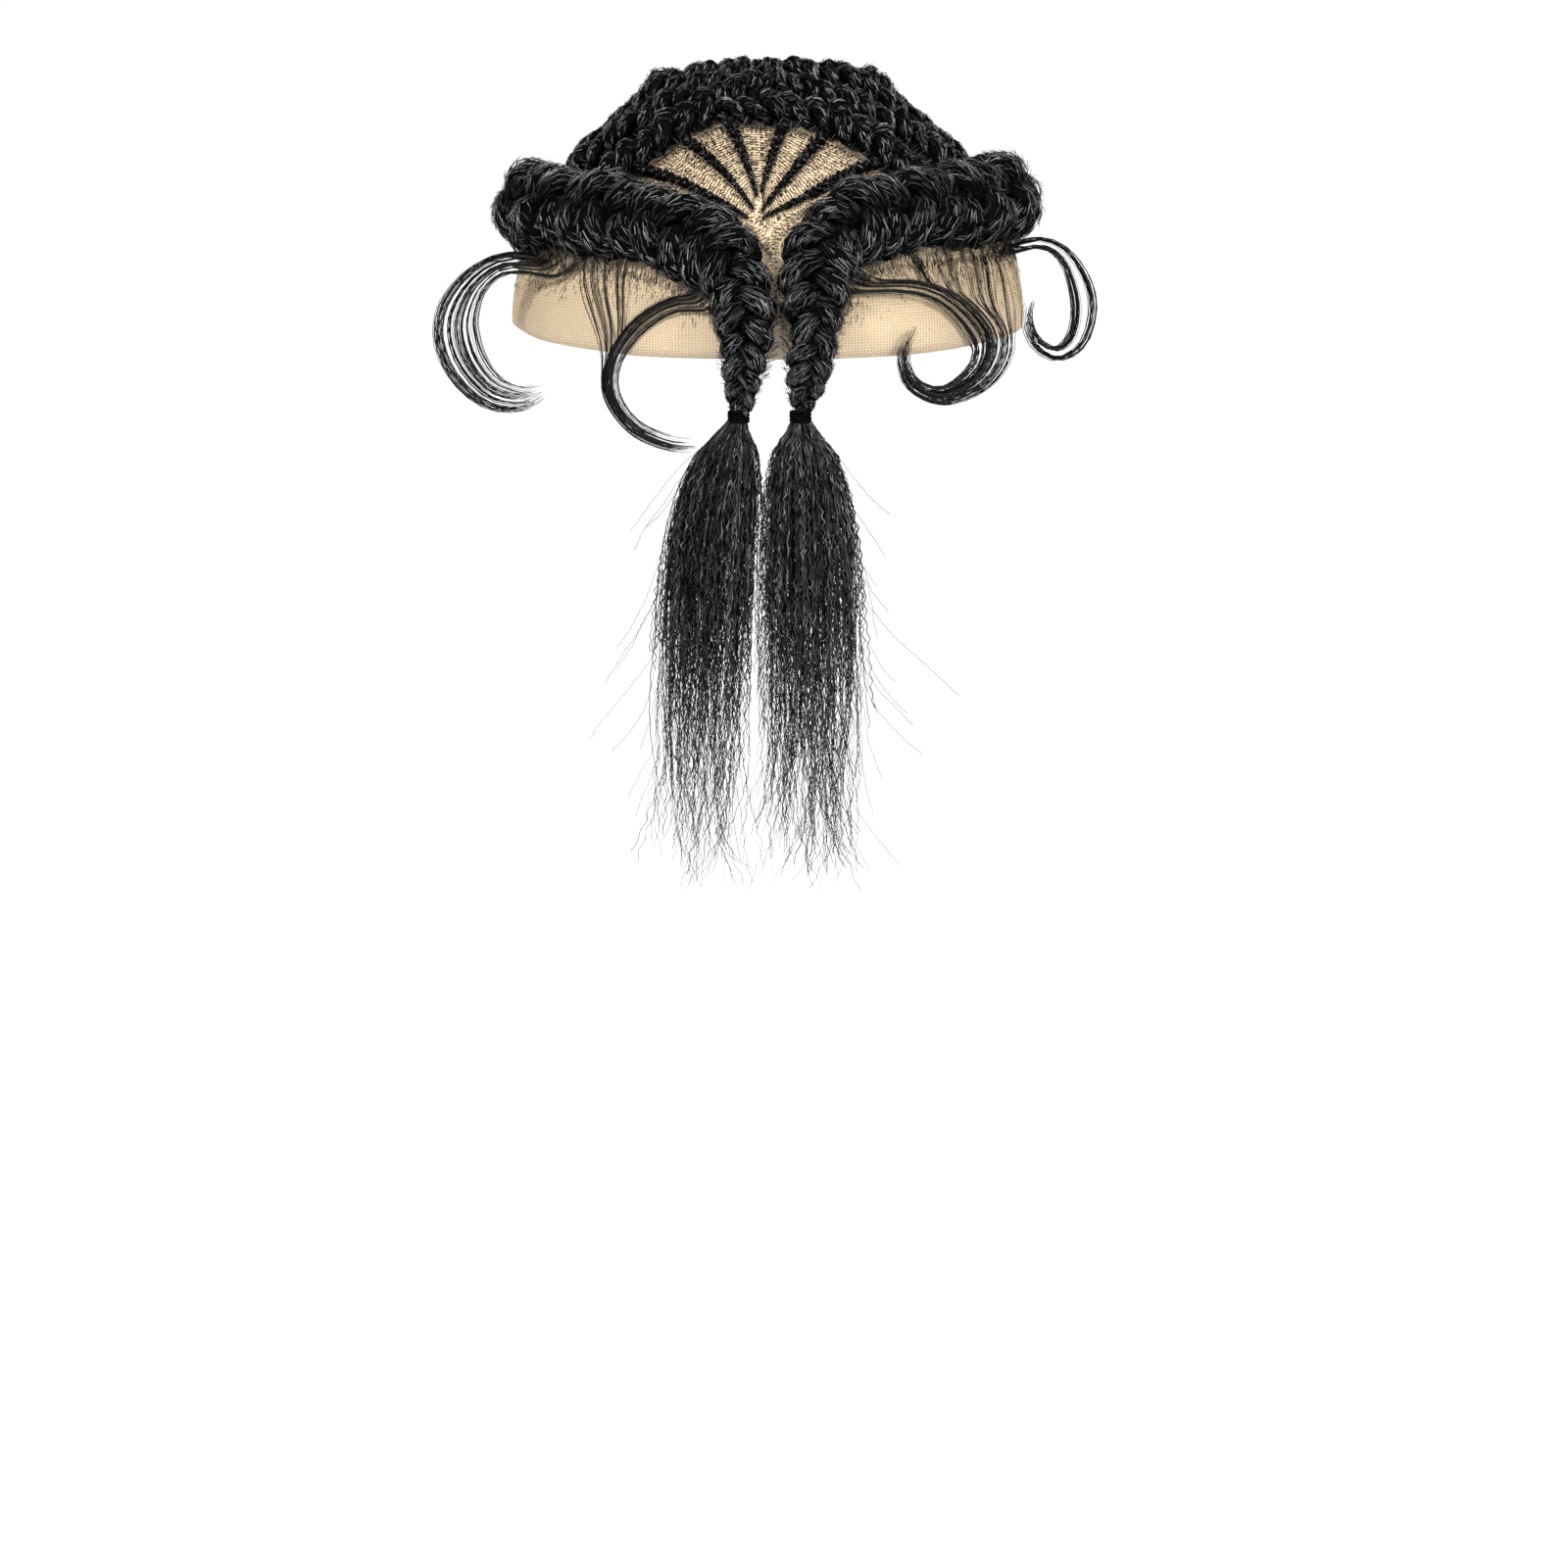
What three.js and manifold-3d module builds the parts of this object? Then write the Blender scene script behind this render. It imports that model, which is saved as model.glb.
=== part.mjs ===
// A cornrow hair unit worn on top of the head. Feed-in cornrows run from a middle parting into a thick
// braid on each side, a fan of fine cornrows fills the back, the two side braids hang down to elastic
// ties with loose tails below, and four locks curl out from the edge of the lace base.
// Millimetres, +Z up. The origin is where the crown of the head meets the inside of the lace. The back
// of the head faces -Y and the forehead faces +Y, so +X is the right of someone looking from behind.
import * as THREE from "three";
import { mergeVertices } from "three/addons/utils/BufferGeometryUtils.js";
import Module from "manifold-3d";

const wasm = await Module();
wasm.setup();

// Driving dimensions of the head that the lace is shaped to
const HEAD = { halfWidth: 83.5, halfLength: 96, crownHeight: 77, roundness: 1.85 };
const LACE_WALL = 1;
const SEAT_GAP = 0.4;
const SEAT_LIFT = LACE_WALL + SEAT_GAP;
const DROP_PER_DEGREE = (HEAD.crownHeight * Math.PI) / 180;

// Edge of the lace: angle from the crown at each bearing, 0 at the back of the head and 180 in front
const HEM = [
  { bearing: 0, polar: 96 },
  { bearing: 30, polar: 96 },
  { bearing: 60, polar: 94.5 },
  { bearing: 90, polar: 92.5 },
  { bearing: 120, polar: 84 },
  { bearing: 150, polar: 71 },
  { bearing: 180, polar: 66 },
];
const LACE_BEARINGS = 40;
const LACE_RINGS = 9;

// One plait section: side and rise as shares of half the width and of the height
const PLAIT_SECTION = [
  { side: -0.75, rise: 0 },
  { side: 0.75, rise: 0 },
  { side: 1, rise: 0.42 },
  { side: 0.56, rise: 0.95 },
  { side: 0, rise: 0.78 },
  { side: -0.56, rise: 0.95 },
  { side: -1, rise: 0.42 },
];
const FINE_SECTION = [
  { side: -0.8, rise: 0 },
  { side: 0.8, rise: 0 },
  { side: 0.7, rise: 0.85 },
  { side: -0.7, rise: 0.85 },
];
const LOBE_SWELL = 0.1;
const CHEVRON = 0.55;

// Side braids from the temple round the side to the tie. A polar angle past 90 hangs straight down
const SIDE_BRAID = [
  { bearing: 139, left: 61.5, right: 61, width: 6, height: 4.5, pitch: 5 },
  { bearing: 122, left: 61, right: 60, width: 13, height: 8, pitch: 7 },
  { bearing: 105, left: 61.7, right: 59.5, width: 20, height: 11.5, pitch: 8.5 },
  { bearing: 87, left: 62.5, right: 60, width: 26, height: 14.5, pitch: 10 },
  { bearing: 68, left: 62.7, right: 61, width: 28, height: 15, pitch: 10.5 },
  { bearing: 48, left: 62.5, right: 61, width: 27.5, height: 14.5, pitch: 10 },
  { bearing: 32, left: 63.6, right: 61.5, width: 27, height: 13.5, pitch: 9.5 },
  { bearing: 19, left: 66.5, right: 64, width: 26.5, height: 12.5, pitch: 9 },
  { bearing: 10.4, left: 72, right: 70, width: 24, height: 11.5, pitch: 8.5 },
  { bearing: 7.5, left: 80, right: 80, width: 18.8, height: 10.5, pitch: 8 },
  { bearing: 6.9, left: 90, right: 90, width: 16.2, height: 10, pitch: 7.5 },
  { bearing: 6.7, left: 97.5, right: 97.5, width: 13.4, height: 9, pitch: 7 },
  { bearing: 6.5, left: 103.5, right: 103.5, width: 7.4, height: 6.4, pitch: 6 },
];
// How far the hanging ends drift to the right, by polar angle
const HANG_DRIFT = [
  { polar: 60, bearing: 0 },
  { polar: 78, bearing: 2 },
  { polar: 90, bearing: 2.4 },
  { polar: 103.5, bearing: 0.8 },
];

// Feed-in cornrows from the parting to the side braid, back to front. "out" is away from the middle
const ROW_START_OUT = 1.9;
const LEFT_ROWS = [
  { startY: -23, midOut: 25, midY: -43.2, endOut: 48, endY: -46.5 },
  { startY: -6, midOut: 27, midY: -27, endOut: 56, endY: -30 },
  { startY: 10, midOut: 28, midY: -12, endOut: 60.5, endY: -16 },
  { startY: 26, midOut: 29, midY: 4, endOut: 61.5, endY: -1 },
  { startY: 42, midOut: 30, midY: 21, endOut: 62, endY: 15 },
  { startY: 58, midOut: 30, midY: 39, endOut: 59, endY: 32 },
  { startY: 75, midOut: 29, midY: 59.5, endOut: 50, endY: 51.5 },
];
const RIGHT_ROWS = [
  { startOut: -14.5, startY: -44.8, midOut: 19.5, midY: -48, endOut: 42.5, endY: -51.5 },
  { startY: -21, midOut: 23, midY: -32.2, endOut: 55, endY: -33.5 },
  { startY: -3.5, midOut: 25, midY: -16.2, endOut: 60.5, endY: -18.5 },
  { startY: 14, midOut: 26, midY: 0, endOut: 62, endY: -3 },
  { startY: 32, midOut: 27, midY: 17, endOut: 62, endY: 13 },
  { startY: 51, midOut: 28, midY: 36, endOut: 59, endY: 31.2 },
  { startY: 71, midOut: 28, midY: 57.5, endOut: 50, endY: 51.5 },
];
// The first row above the fan is the thickest. Rows past the second stand highest over the corners of
// the crown and lie flat near the side braid
const FIRST_ROW_SIZES = [
  { width: 6, height: 4.5, pitch: 5.5 },
  { width: 14, height: 7.5, pitch: 7.4 },
  { width: 12.5, height: 7.5, pitch: 7.4 },
];
const SECOND_ROW_SIZES = [
  { width: 5, height: 4, pitch: 4.5 },
  { width: 11.5, height: 7, pitch: 6.3 },
  { width: 10.5, height: 7, pitch: 6.3 },
];
const FRONT_ROW_SIZES = [
  { width: 5, height: 4, pitch: 4.5 },
  { width: 8.5, height: 5, pitch: 5.5 },
  { width: 11, height: 6, pitch: 6.3 },
  { width: 11.5, height: 7, pitch: 6.3 },
  { width: 11.5, height: 9, pitch: 6.3 },
  { width: 11, height: 4.2, pitch: 6.3 },
  { width: 10.5, height: 4, pitch: 6.3 },
  { width: 10.5, height: 4, pitch: 6.3 },
];

// Fine cornrows of the fan, left to right, from near its point to the feed-in rows
const FAN_ROWS = [
  { startX: -6.7, startY: -82.8, midX: -21.5, midY: -72.8, endX: -34.5, endY: -60.5 },
  { startX: -4.9, startY: -80.9, midX: -16.2, midY: -66.3, endX: -25.5, endY: -53 },
  { startX: -3.8, startY: -77.4, midX: -8.2, midY: -63.3, endX: -12.3, endY: -49.8 },
  { startX: -2.2, startY: -76.5, midX: 1.2, midY: -64.8, endX: 4.6, endY: -53 },
  { startX: -1.9, startY: -81.5, midX: 7.6, midY: -70.5, endX: 15.8, endY: -57.5 },
  { startX: -1.7, startY: -83.3, midX: 13.5, midY: -75.8, endX: 28.3, endY: -62.5 },
];
const FAN_SIZES = [
  { width: 1.4, height: 1.2, pitch: 1.9 },
  { width: 3, height: 2.4, pitch: 2.6 },
  { width: 4.6, height: 3.4, pitch: 3.2 },
];

// Elastic tie and the loose tail below it
const TIE = { neckRadius: 2.6, clearance: 0.3, wall: 1, height: 4, sides: 14 };
const TAIL_LENGTH = 152.4;
const TAIL_DRIFT = { left: -11.6, right: 4.6 };
const TAIL_FORM = [
  { drop: 0, width: 5.2, depth: 5.2 },
  { drop: 15, width: 21, depth: 12 },
  { drop: 42, width: 30, depth: 15 },
  { drop: 85, width: 32.5, depth: 15 },
  { drop: 130, width: 30, depth: 13 },
  { drop: TAIL_LENGTH, width: 26, depth: 10 },
];
const TAIL_LOCKS = [
  { across: -0.66, deep: 0.1, reach: 0.88 },
  { across: -0.36, deep: -0.3, reach: 0.96 },
  { across: -0.12, deep: 0.32, reach: 0.9 },
  { across: 0.12, deep: -0.32, reach: 1 },
  { across: 0.38, deep: 0.28, reach: 0.95 },
  { across: 0.66, deep: -0.08, reach: 0.9 },
];
const LOCK_SIDES = 6;
const LOCK_STEPS = 6;

// Curled locks at the hem: the line of each lock from its root to its tip
const CURLS = {
  curl_far_left: [
    { x: -63.5, y: -60, z: -58, width: 9 },
    { x: -83, y: -50.5, z: -55.5, width: 8.5 },
    { x: -94, y: -46.5, z: -62, width: 10 },
    { x: -100, y: -46, z: -72, width: 13 },
    { x: -101, y: -46, z: -81, width: 14.5 },
    { x: -98, y: -47, z: -90.5, width: 13.5 },
    { x: -90.5, y: -48.5, z: -98.5, width: 10.5 },
    { x: -81, y: -49.5, z: -101, width: 7 },
    { x: -73.5, y: -51, z: -98.5, width: 4 },
  ],
  curl_near_left: [
    { x: -20, y: -95.4, z: -68.5, width: 4 },
    { x: -30.5, y: -91.8, z: -68, width: 5 },
    { x: -42, y: -86.2, z: -74, width: 6 },
    { x: -49.5, y: -81, z: -85.5, width: 5.5 },
    { x: -50, y: -81.5, z: -96.5, width: 5 },
    { x: -43, y: -86.5, z: -106, width: 4.5 },
    { x: -32, y: -92, z: -110.5, width: 4.5 },
    { x: -23, y: -95.5, z: -111, width: 3.5 },
  ],
  curl_near_right: [
    { x: 27.3, y: -90.6, z: -62.8, width: 5 },
    { x: 45, y: -84, z: -62.5, width: 7.5 },
    { x: 57, y: -75, z: -66, width: 9.5 },
    { x: 67, y: -66, z: -73.5, width: 12 },
    { x: 71.5, y: -61, z: -82, width: 13 },
    { x: 67.5, y: -66, z: -91, width: 9.5 },
    { x: 56, y: -77, z: -97, width: 5.5 },
    { x: 46, y: -85, z: -92.5, width: 4 },
    { x: 43, y: -87.5, z: -83.5, width: 3 },
    { x: 46, y: -86, z: -74.5, width: 2 },
  ],
  curl_far_right: [
    { x: 75, y: -38, z: -57, width: 7 },
    { x: 88, y: -35.5, z: -53.5, width: 7 },
    { x: 96.5, y: -34.5, z: -57, width: 7.5 },
    { x: 101.5, y: -34, z: -66, width: 8.5 },
    { x: 102.5, y: -34, z: -75, width: 8.5 },
    { x: 100, y: -34.5, z: -83.5, width: 6.5 },
    { x: 94, y: -35, z: -87.5, width: 5 },
    { x: 87.5, y: -36, z: -84, width: 3.5 },
    { x: 84.5, y: -36, z: -76.5, width: 3 },
    { x: 85.5, y: -36, z: -71, width: 2 },
  ],
};
// A lock's flat side faces halfway between outwards and straight back
const CURL_FACING = new THREE.Vector3(0, -1, 0);
const CURL_THICKNESS = 2.4;
const CURL_SIDES = 6;
const CURL_STEPS_PER_ROW = 3;

// Finishes
const HAIR = new THREE.MeshStandardMaterial({ color: 0x141416, roughness: 0.55, metalness: 0 });
const ELASTIC = new THREE.MeshStandardMaterial({ color: 0x0c0c0d, roughness: 0.7, metalness: 0 });
const LACE = new THREE.MeshStandardMaterial({ color: 0xd9b98c, roughness: 0.8, metalness: 0 });

const radians = THREE.MathUtils.degToRad;
const power = (value, exponent) => Math.sign(value) * Math.abs(value) ** exponent;

// A column of a table between its rows, read at a place in another column
function lookUp(rows, key, at, column) {
  const next = rows.findIndex((row) => row[key] >= at);
  if (next === 0) return rows[0][column];
  if (next < 0) return rows.at(-1)[column];
  const [low, high] = [rows[next - 1], rows[next]];
  const share = (at - low[key]) / (high[key] - low[key]);
  return THREE.MathUtils.lerp(low[column], high[column], share);
}

// A column of a table at a share of the way through its rows
function atShare(rows, share, column) {
  const place = share * (rows.length - 1);
  const low = Math.min(Math.floor(place), rows.length - 2);
  return THREE.MathUtils.lerp(rows[low][column], rows[low + 1][column], place - low);
}

// A point on the head, or the given distance off it
function headPoint(bearing, polar, lift) {
  const ring = power(Math.sin(radians(polar)), 2 / HEAD.roundness);
  const rise = power(Math.cos(radians(polar)), 2 / HEAD.roundness);
  return new THREE.Vector3(
    (HEAD.halfWidth + lift) * ring * Math.sin(radians(bearing)),
    -(HEAD.halfLength + lift) * ring * Math.cos(radians(bearing)),
    (HEAD.crownHeight + lift) * rise - HEAD.crownHeight,
  );
}

// Where hair sits on the lace. Past the widest ring of the head it hangs straight down
function seatPoint(bearing, polar) {
  const seat = headPoint(bearing, Math.min(polar, 90), SEAT_LIFT);
  seat.z -= Math.max(0, polar - 90) * DROP_PER_DEGREE;
  return seat;
}

// The same seat for a place given in plan
function seatAtPlan(x, y) {
  const across = x / (HEAD.halfWidth + SEAT_LIFT);
  const along = -y / (HEAD.halfLength + SEAT_LIFT);
  const polar = Math.asin(Math.hypot(across, along) ** (HEAD.roundness / 2));
  const bearing = Math.atan2(across, along);
  return seatPoint(THREE.MathUtils.radToDeg(bearing), THREE.MathUtils.radToDeg(polar));
}

// The way out of the head at a place on it or near it
function outwardAt({ x, y, z }) {
  const across = Math.hypot(x / HEAD.halfWidth, y / HEAD.halfLength);
  const flare = across ** (HEAD.roundness - 2);
  const rise = Math.max(0, z / HEAD.crownHeight + 1);
  return new THREE.Vector3(
    (flare * x) / HEAD.halfWidth ** 2,
    (flare * y) / HEAD.halfLength ** 2,
    rise ** (HEAD.roundness - 1) / HEAD.crownHeight,
  ).normalize();
}

// Moves every vertex of a geometry by a function of its place
function warp(geometry, move) {
  const positions = geometry.attributes.position;
  const vertex = new THREE.Vector3();
  for (let i = 0; i < positions.count; i++) {
    const moved = move(vertex.fromBufferAttribute(positions, i));
    positions.setXYZ(i, moved.x, moved.y, moved.z);
  }
  geometry.computeVertexNormals();
  return geometry;
}

// The lace: a thin closed shell, lathed flat and then laid over the head out to its hem
function laceGeometry() {
  const ring = (share, layer) => new THREE.Vector2(share, layer);
  const shares = Array.from({ length: LACE_RINGS + 1 }, (_, i) => i / LACE_RINGS);
  const outside = shares.map((share) => ring(share, 1));
  const inside = shares.map((share) => ring(share, 0)).reverse();
  const disc = new THREE.LatheGeometry([...outside, ...inside].reverse(), LACE_BEARINGS);
  return warp(disc, ({ x, y: layer, z }) => {
    const bearing = THREE.MathUtils.radToDeg(Math.atan2(x, z));
    const polar = Math.hypot(x, z) * lookUp(HEM, "bearing", Math.abs(bearing), "polar");
    return headPoint(bearing, polar, layer * LACE_WALL);
  });
}

// The line of a braid over its seat, with a frame and the sizes at any share of it
function makeRoute(seatAt, sizes) {
  const frameAt = (share) => {
    const seat = seatAt(share);
    const step = 1e-3;
    const ahead = seatAt(Math.min(1, share + step));
    const behind = seatAt(Math.max(0, share - step));
    const along = ahead.sub(behind).normalize();
    const outward = outwardAt(seat);
    outward.addScaledVector(along, -outward.dot(along)).normalize();
    const sideways = new THREE.Vector3().crossVectors(outward, along);
    const size = (column) => atShare(sizes, share, column);
    return { seat, along, outward, sideways, size };
  };
  return { seatAt, frameAt, sizes };
}

// Shares of a route that are half a lobe apart, so that lobes on the two sides take turns
function halfLobes(route) {
  const samples = 400;
  const counted = [0];
  for (let i = 1; i <= samples; i++) {
    const middle = (i - 0.5) / samples;
    const length = route.seatAt(i / samples).distanceTo(route.seatAt((i - 1) / samples));
    counted.push(counted[i - 1] + (2 * length) / atShare(route.sizes, middle, "pitch"));
  }
  const count = Math.round(counted[samples]);
  const shareAt = (lobe) => {
    const wanted = (lobe / count) * counted[samples];
    const next = Math.max(1, counted.findIndex((value) => value >= wanted - 1e-9));
    const within = (wanted - counted[next - 1]) / (counted[next] - counted[next - 1]);
    return (next - 1 + within) / samples;
  };
  return Array.from({ length: count + 1 }, (_, lobe) => shareAt(lobe));
}

// A plait: a straight bar of its section, bent along the route, with lobes that swell in turn on the
// two sides and slant outwards down the braid
function plaitGeometry(route, outline) {
  const shares = halfLobes(route);
  const steps = shares.length - 1;
  const section = new THREE.Shape(outline.map(({ side, rise }) => new THREE.Vector2(side, rise)));
  const bar = new THREE.ExtrudeGeometry(section, { depth: steps, steps, bevelEnabled: false });
  return warp(bar, ({ x: side, y: rise, z: step }) => {
    const lobe = Math.round(step);
    const { seat, along, outward, sideways, size } = route.frameAt(shares[lobe]);
    const swell = 1 + LOBE_SWELL * Math.cos(Math.PI * lobe) * Math.sign(side);
    return seat
      .addScaledVector(sideways, (side * swell * size("width")) / 2)
      .addScaledVector(outward, rise * swell * size("height"))
      .addScaledVector(along, CHEVRON * Math.abs(side) * size("pitch"));
  });
}

// A closed geometry as a solid for joining, and back again
function toSolid(geometry) {
  const bare = geometry.clone();
  bare.deleteAttribute("normal");
  bare.deleteAttribute("uv");
  const merged = mergeVertices(bare, 1e-3);
  return new wasm.Manifold(
    new wasm.Mesh({
      numProp: 3,
      vertProperties: merged.attributes.position.array,
      triVerts: new Uint32Array(merged.index.array),
    }),
  );
}

function toGeometry(solid) {
  const mesh = solid.getMesh();
  const geometry = new THREE.BufferGeometry();
  geometry.setAttribute("position", new THREE.BufferAttribute(mesh.vertProperties, 3));
  geometry.setIndex(new THREE.BufferAttribute(mesh.triVerts, 1));
  geometry.computeVertexNormals();
  return geometry;
}

const unit = new THREE.Group();

function addPiece(name, geometry, material) {
  const mesh = new THREE.Mesh(geometry, material);
  mesh.name = name;
  unit.add(mesh);
  return mesh;
}

const SIDES = { left: -1, right: 1 };

// Side braid of one side, and the place and lean of its tied end
function sideBraidRoute(side, sign) {
  const line = new THREE.SplineCurve(SIDE_BRAID.map((row) => new THREE.Vector2(row.bearing, row[side])));
  const seatAt = (share) => {
    const { x: bearing, y: polar } = line.getPoint(share);
    return seatPoint(sign * bearing + lookUp(HANG_DRIFT, "polar", polar, "bearing"), polar);
  };
  return makeRoute(seatAt, SIDE_BRAID);
}

// A row given by its start, middle and end in plan
function planRoute(points, sizes) {
  const line = new THREE.SplineCurve(points.map(([x, y]) => new THREE.Vector2(x, y)));
  const seatAt = (share) => {
    const { x, y } = line.getPoint(share);
    return seatAtPlan(x, y);
  };
  return makeRoute(seatAt, sizes);
}

// The elastic tie: a band round the neck of the tail
function tieGeometry() {
  const inner = TIE.neckRadius + TIE.clearance;
  const outer = inner + TIE.wall;
  const half = TIE.height / 2;
  const crown = TIE.wall * 0.3;
  const profile = [
    new THREE.Vector2(inner, -half),
    new THREE.Vector2(outer - crown, -half),
    new THREE.Vector2(outer, 0),
    new THREE.Vector2(outer - crown, half),
    new THREE.Vector2(inner, half),
    new THREE.Vector2(inner, -half),
  ];
  return new THREE.LatheGeometry(profile, TIE.sides).rotateX(Math.PI / 2);
}

// One lock of a tail: a cone that leaves the neck, spreads to its place in the tail and runs to a tip
function lockGeometry({ across, deep, reach }, drift) {
  const lock = new THREE.CylinderGeometry(1, 1, 1, LOCK_SIDES, LOCK_STEPS);
  return warp(lock, ({ x, y, z }) => {
    const share = 0.5 - y;
    const drop = share * reach * TAIL_LENGTH;
    const width = lookUp(TAIL_FORM, "drop", drop, "width");
    const depth = lookUp(TAIL_FORM, "drop", drop, "depth");
    const swing = drift * (1 - Math.exp(-drop / 30));
    const body = 0.5 * (1 - share ** 3) + 0.04;
    return new THREE.Vector3(
      swing + (across * width) / 2 + x * body * width * 0.42,
      (deep * depth) / 2 - z * body * depth * 0.62,
      -drop - SEAT_GAP,
    );
  });
}

// The loose tail: a neck for the tie, with its locks joined to it
function tailGeometry(drift) {
  const neckHeight = TIE.height + 1;
  const neck = new THREE.CylinderGeometry(TIE.neckRadius, TIE.neckRadius, neckHeight, TIE.sides);
  neck.rotateX(Math.PI / 2).translate(0, 0, neckHeight / 2 - 1);
  const locks = TAIL_LOCKS.map((lock) => toSolid(lockGeometry(lock, drift)));
  return toGeometry(locks.reduce((tail, lock) => tail.add(lock), toSolid(neck)));
}

// A curled lock: a flattened strip of hair swept along its line, thin at the tip
function curlGeometry(rows) {
  const line = new THREE.CatmullRomCurve3(rows.map(({ x, y, z }) => new THREE.Vector3(x, y, z)));
  const steps = (rows.length - 1) * CURL_STEPS_PER_ROW;
  const round = new THREE.CylinderGeometry(0.5, 0.5, steps, CURL_SIDES, steps);
  return warp(round, ({ x, y, z }) => {
    const share = (y + steps / 2) / steps;
    const along = line.getTangent(share);
    const outward = outwardAt(line.getPoint(share)).add(CURL_FACING);
    outward.addScaledVector(along, -outward.dot(along)).normalize();
    const sideways = new THREE.Vector3().crossVectors(along, outward);
    const width = atShare(rows, share, "width");
    const thickness = Math.min(CURL_THICKNESS, width * 0.5);
    return line
      .getPoint(share)
      .addScaledVector(sideways, x * width)
      .addScaledVector(outward, z * thickness);
  });
}

addPiece("lace_base", laceGeometry(), LACE);

for (const [side, sign] of Object.entries(SIDES)) {
  const route = sideBraidRoute(side, sign);
  addPiece(`side_braid_${side}`, plaitGeometry(route, PLAIT_SECTION), HAIR);

  const end = route.frameAt(1);
  const reach = end.size("pitch") * CHEVRON + 2.5 * SEAT_GAP + TIE.height / 2;
  const knot = end.seat.clone();
  knot.addScaledVector(end.outward, end.size("height") / 2).addScaledVector(end.along, reach);
  const tie = addPiece(`hair_tie_${side}`, tieGeometry(), ELASTIC);
  tie.position.copy(knot);
  const tail = addPiece(`tail_${side}`, tailGeometry(TAIL_DRIFT[side]), HAIR);
  tail.position.copy(knot);
  tail.position.z -= TIE.height / 2;
}

for (const [side, rows] of Object.entries({ left: LEFT_ROWS, right: RIGHT_ROWS })) {
  rows.forEach(({ startOut = ROW_START_OUT, startY, midOut, midY, endOut, endY }, i) => {
    const sign = SIDES[side];
    const points = [
      [sign * startOut, startY],
      [sign * midOut, midY],
      [sign * endOut, endY],
    ];
    const sizes = [FIRST_ROW_SIZES, SECOND_ROW_SIZES][i] ?? FRONT_ROW_SIZES;
    addPiece(`cornrow_${side}_${i + 1}`, plaitGeometry(planRoute(points, sizes), PLAIT_SECTION), HAIR);
  });
}

FAN_ROWS.forEach(({ startX, startY, midX, midY, endX, endY }, i) => {
  const points = [
    [startX, startY],
    [midX, midY],
    [endX, endY],
  ];
  addPiece(`fan_row_${i + 1}`, plaitGeometry(planRoute(points, FAN_SIZES), FINE_SECTION), HAIR);
});

for (const [name, rows] of Object.entries(CURLS)) addPiece(name, curlGeometry(rows), HAIR);

export default unit;
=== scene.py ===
# %% [markdown]
# # A cornrow hairpiece, dressed strand by strand
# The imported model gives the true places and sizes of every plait, tail and curl, but its solids are
# plain. This lesson loads that model as a fixed frame and then dresses it: a net of lace, plaits made
# of crossing bundles of fibre, loose crimped tails and fine curled locks. All lengths in the tables
# are millimetres, as a maker would measure them, and turn into metres only when a mesh is made.

# %% Load the frame
import math
import bmesh
import bpy
import numpy as np
from mathutils import Matrix, Vector


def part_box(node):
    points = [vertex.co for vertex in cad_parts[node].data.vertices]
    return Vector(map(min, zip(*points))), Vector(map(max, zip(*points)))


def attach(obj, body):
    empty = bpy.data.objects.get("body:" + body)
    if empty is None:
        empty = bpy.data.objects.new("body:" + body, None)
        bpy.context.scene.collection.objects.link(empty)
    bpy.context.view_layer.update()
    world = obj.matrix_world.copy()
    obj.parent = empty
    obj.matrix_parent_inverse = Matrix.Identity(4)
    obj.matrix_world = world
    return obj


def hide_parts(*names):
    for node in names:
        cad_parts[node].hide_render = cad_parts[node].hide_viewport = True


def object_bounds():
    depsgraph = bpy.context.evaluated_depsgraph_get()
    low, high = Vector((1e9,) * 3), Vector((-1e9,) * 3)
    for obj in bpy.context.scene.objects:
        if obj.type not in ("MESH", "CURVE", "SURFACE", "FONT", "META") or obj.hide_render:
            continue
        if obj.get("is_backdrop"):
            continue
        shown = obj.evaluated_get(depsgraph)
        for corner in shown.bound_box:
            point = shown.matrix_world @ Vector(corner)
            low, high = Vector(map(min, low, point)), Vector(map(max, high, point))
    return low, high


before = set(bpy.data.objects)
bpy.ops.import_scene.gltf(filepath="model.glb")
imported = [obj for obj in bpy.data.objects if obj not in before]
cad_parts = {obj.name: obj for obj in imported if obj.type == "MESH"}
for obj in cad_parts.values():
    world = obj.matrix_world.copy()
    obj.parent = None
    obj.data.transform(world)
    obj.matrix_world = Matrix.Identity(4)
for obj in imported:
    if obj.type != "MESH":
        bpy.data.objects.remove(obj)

cad_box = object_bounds()
MM = 0.001
print("CAD box:", [[round(v, 4) for v in corner] for corner in cad_box])

# %% [markdown]
# ## Camera and studio
# The piece is seen from behind, a little from above, through a long lens from far away. That flattens
# perspective, so the braids don't bulge and sizes can be read off the picture. The floor is one wide
# pale plane. Its faint glow keeps it white without flooding the black hair with light from above.

# %% Camera
VIEW_TARGET = Vector((0.005, -0.020, -0.232))
VIEW_DISTANCE = 2.2
VIEW_ELEVATION = math.radians(9.0)
VIEW_LENS = 152.3
VIEW_SENSOR = 36.0

camera_data = bpy.data.cameras.new("back_view")
camera_data.lens = VIEW_LENS
camera_data.sensor_width = VIEW_SENSOR
camera = bpy.data.objects.new("back_view", camera_data)
bpy.context.collection.objects.link(camera)
view_line = Vector((0.0, math.cos(VIEW_ELEVATION), -math.sin(VIEW_ELEVATION)))
camera.location = VIEW_TARGET - view_line * VIEW_DISTANCE
camera.rotation_euler = view_line.to_track_quat("-Z", "Y").to_euler()
bpy.context.scene.camera = camera
bpy.context.scene.view_settings.view_transform = "Standard"
print("camera at", [round(v, 3) for v in camera.location])

# %% Floor
FLOOR_LEVEL = -0.47
FLOOR_HALF = 14.0

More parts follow.
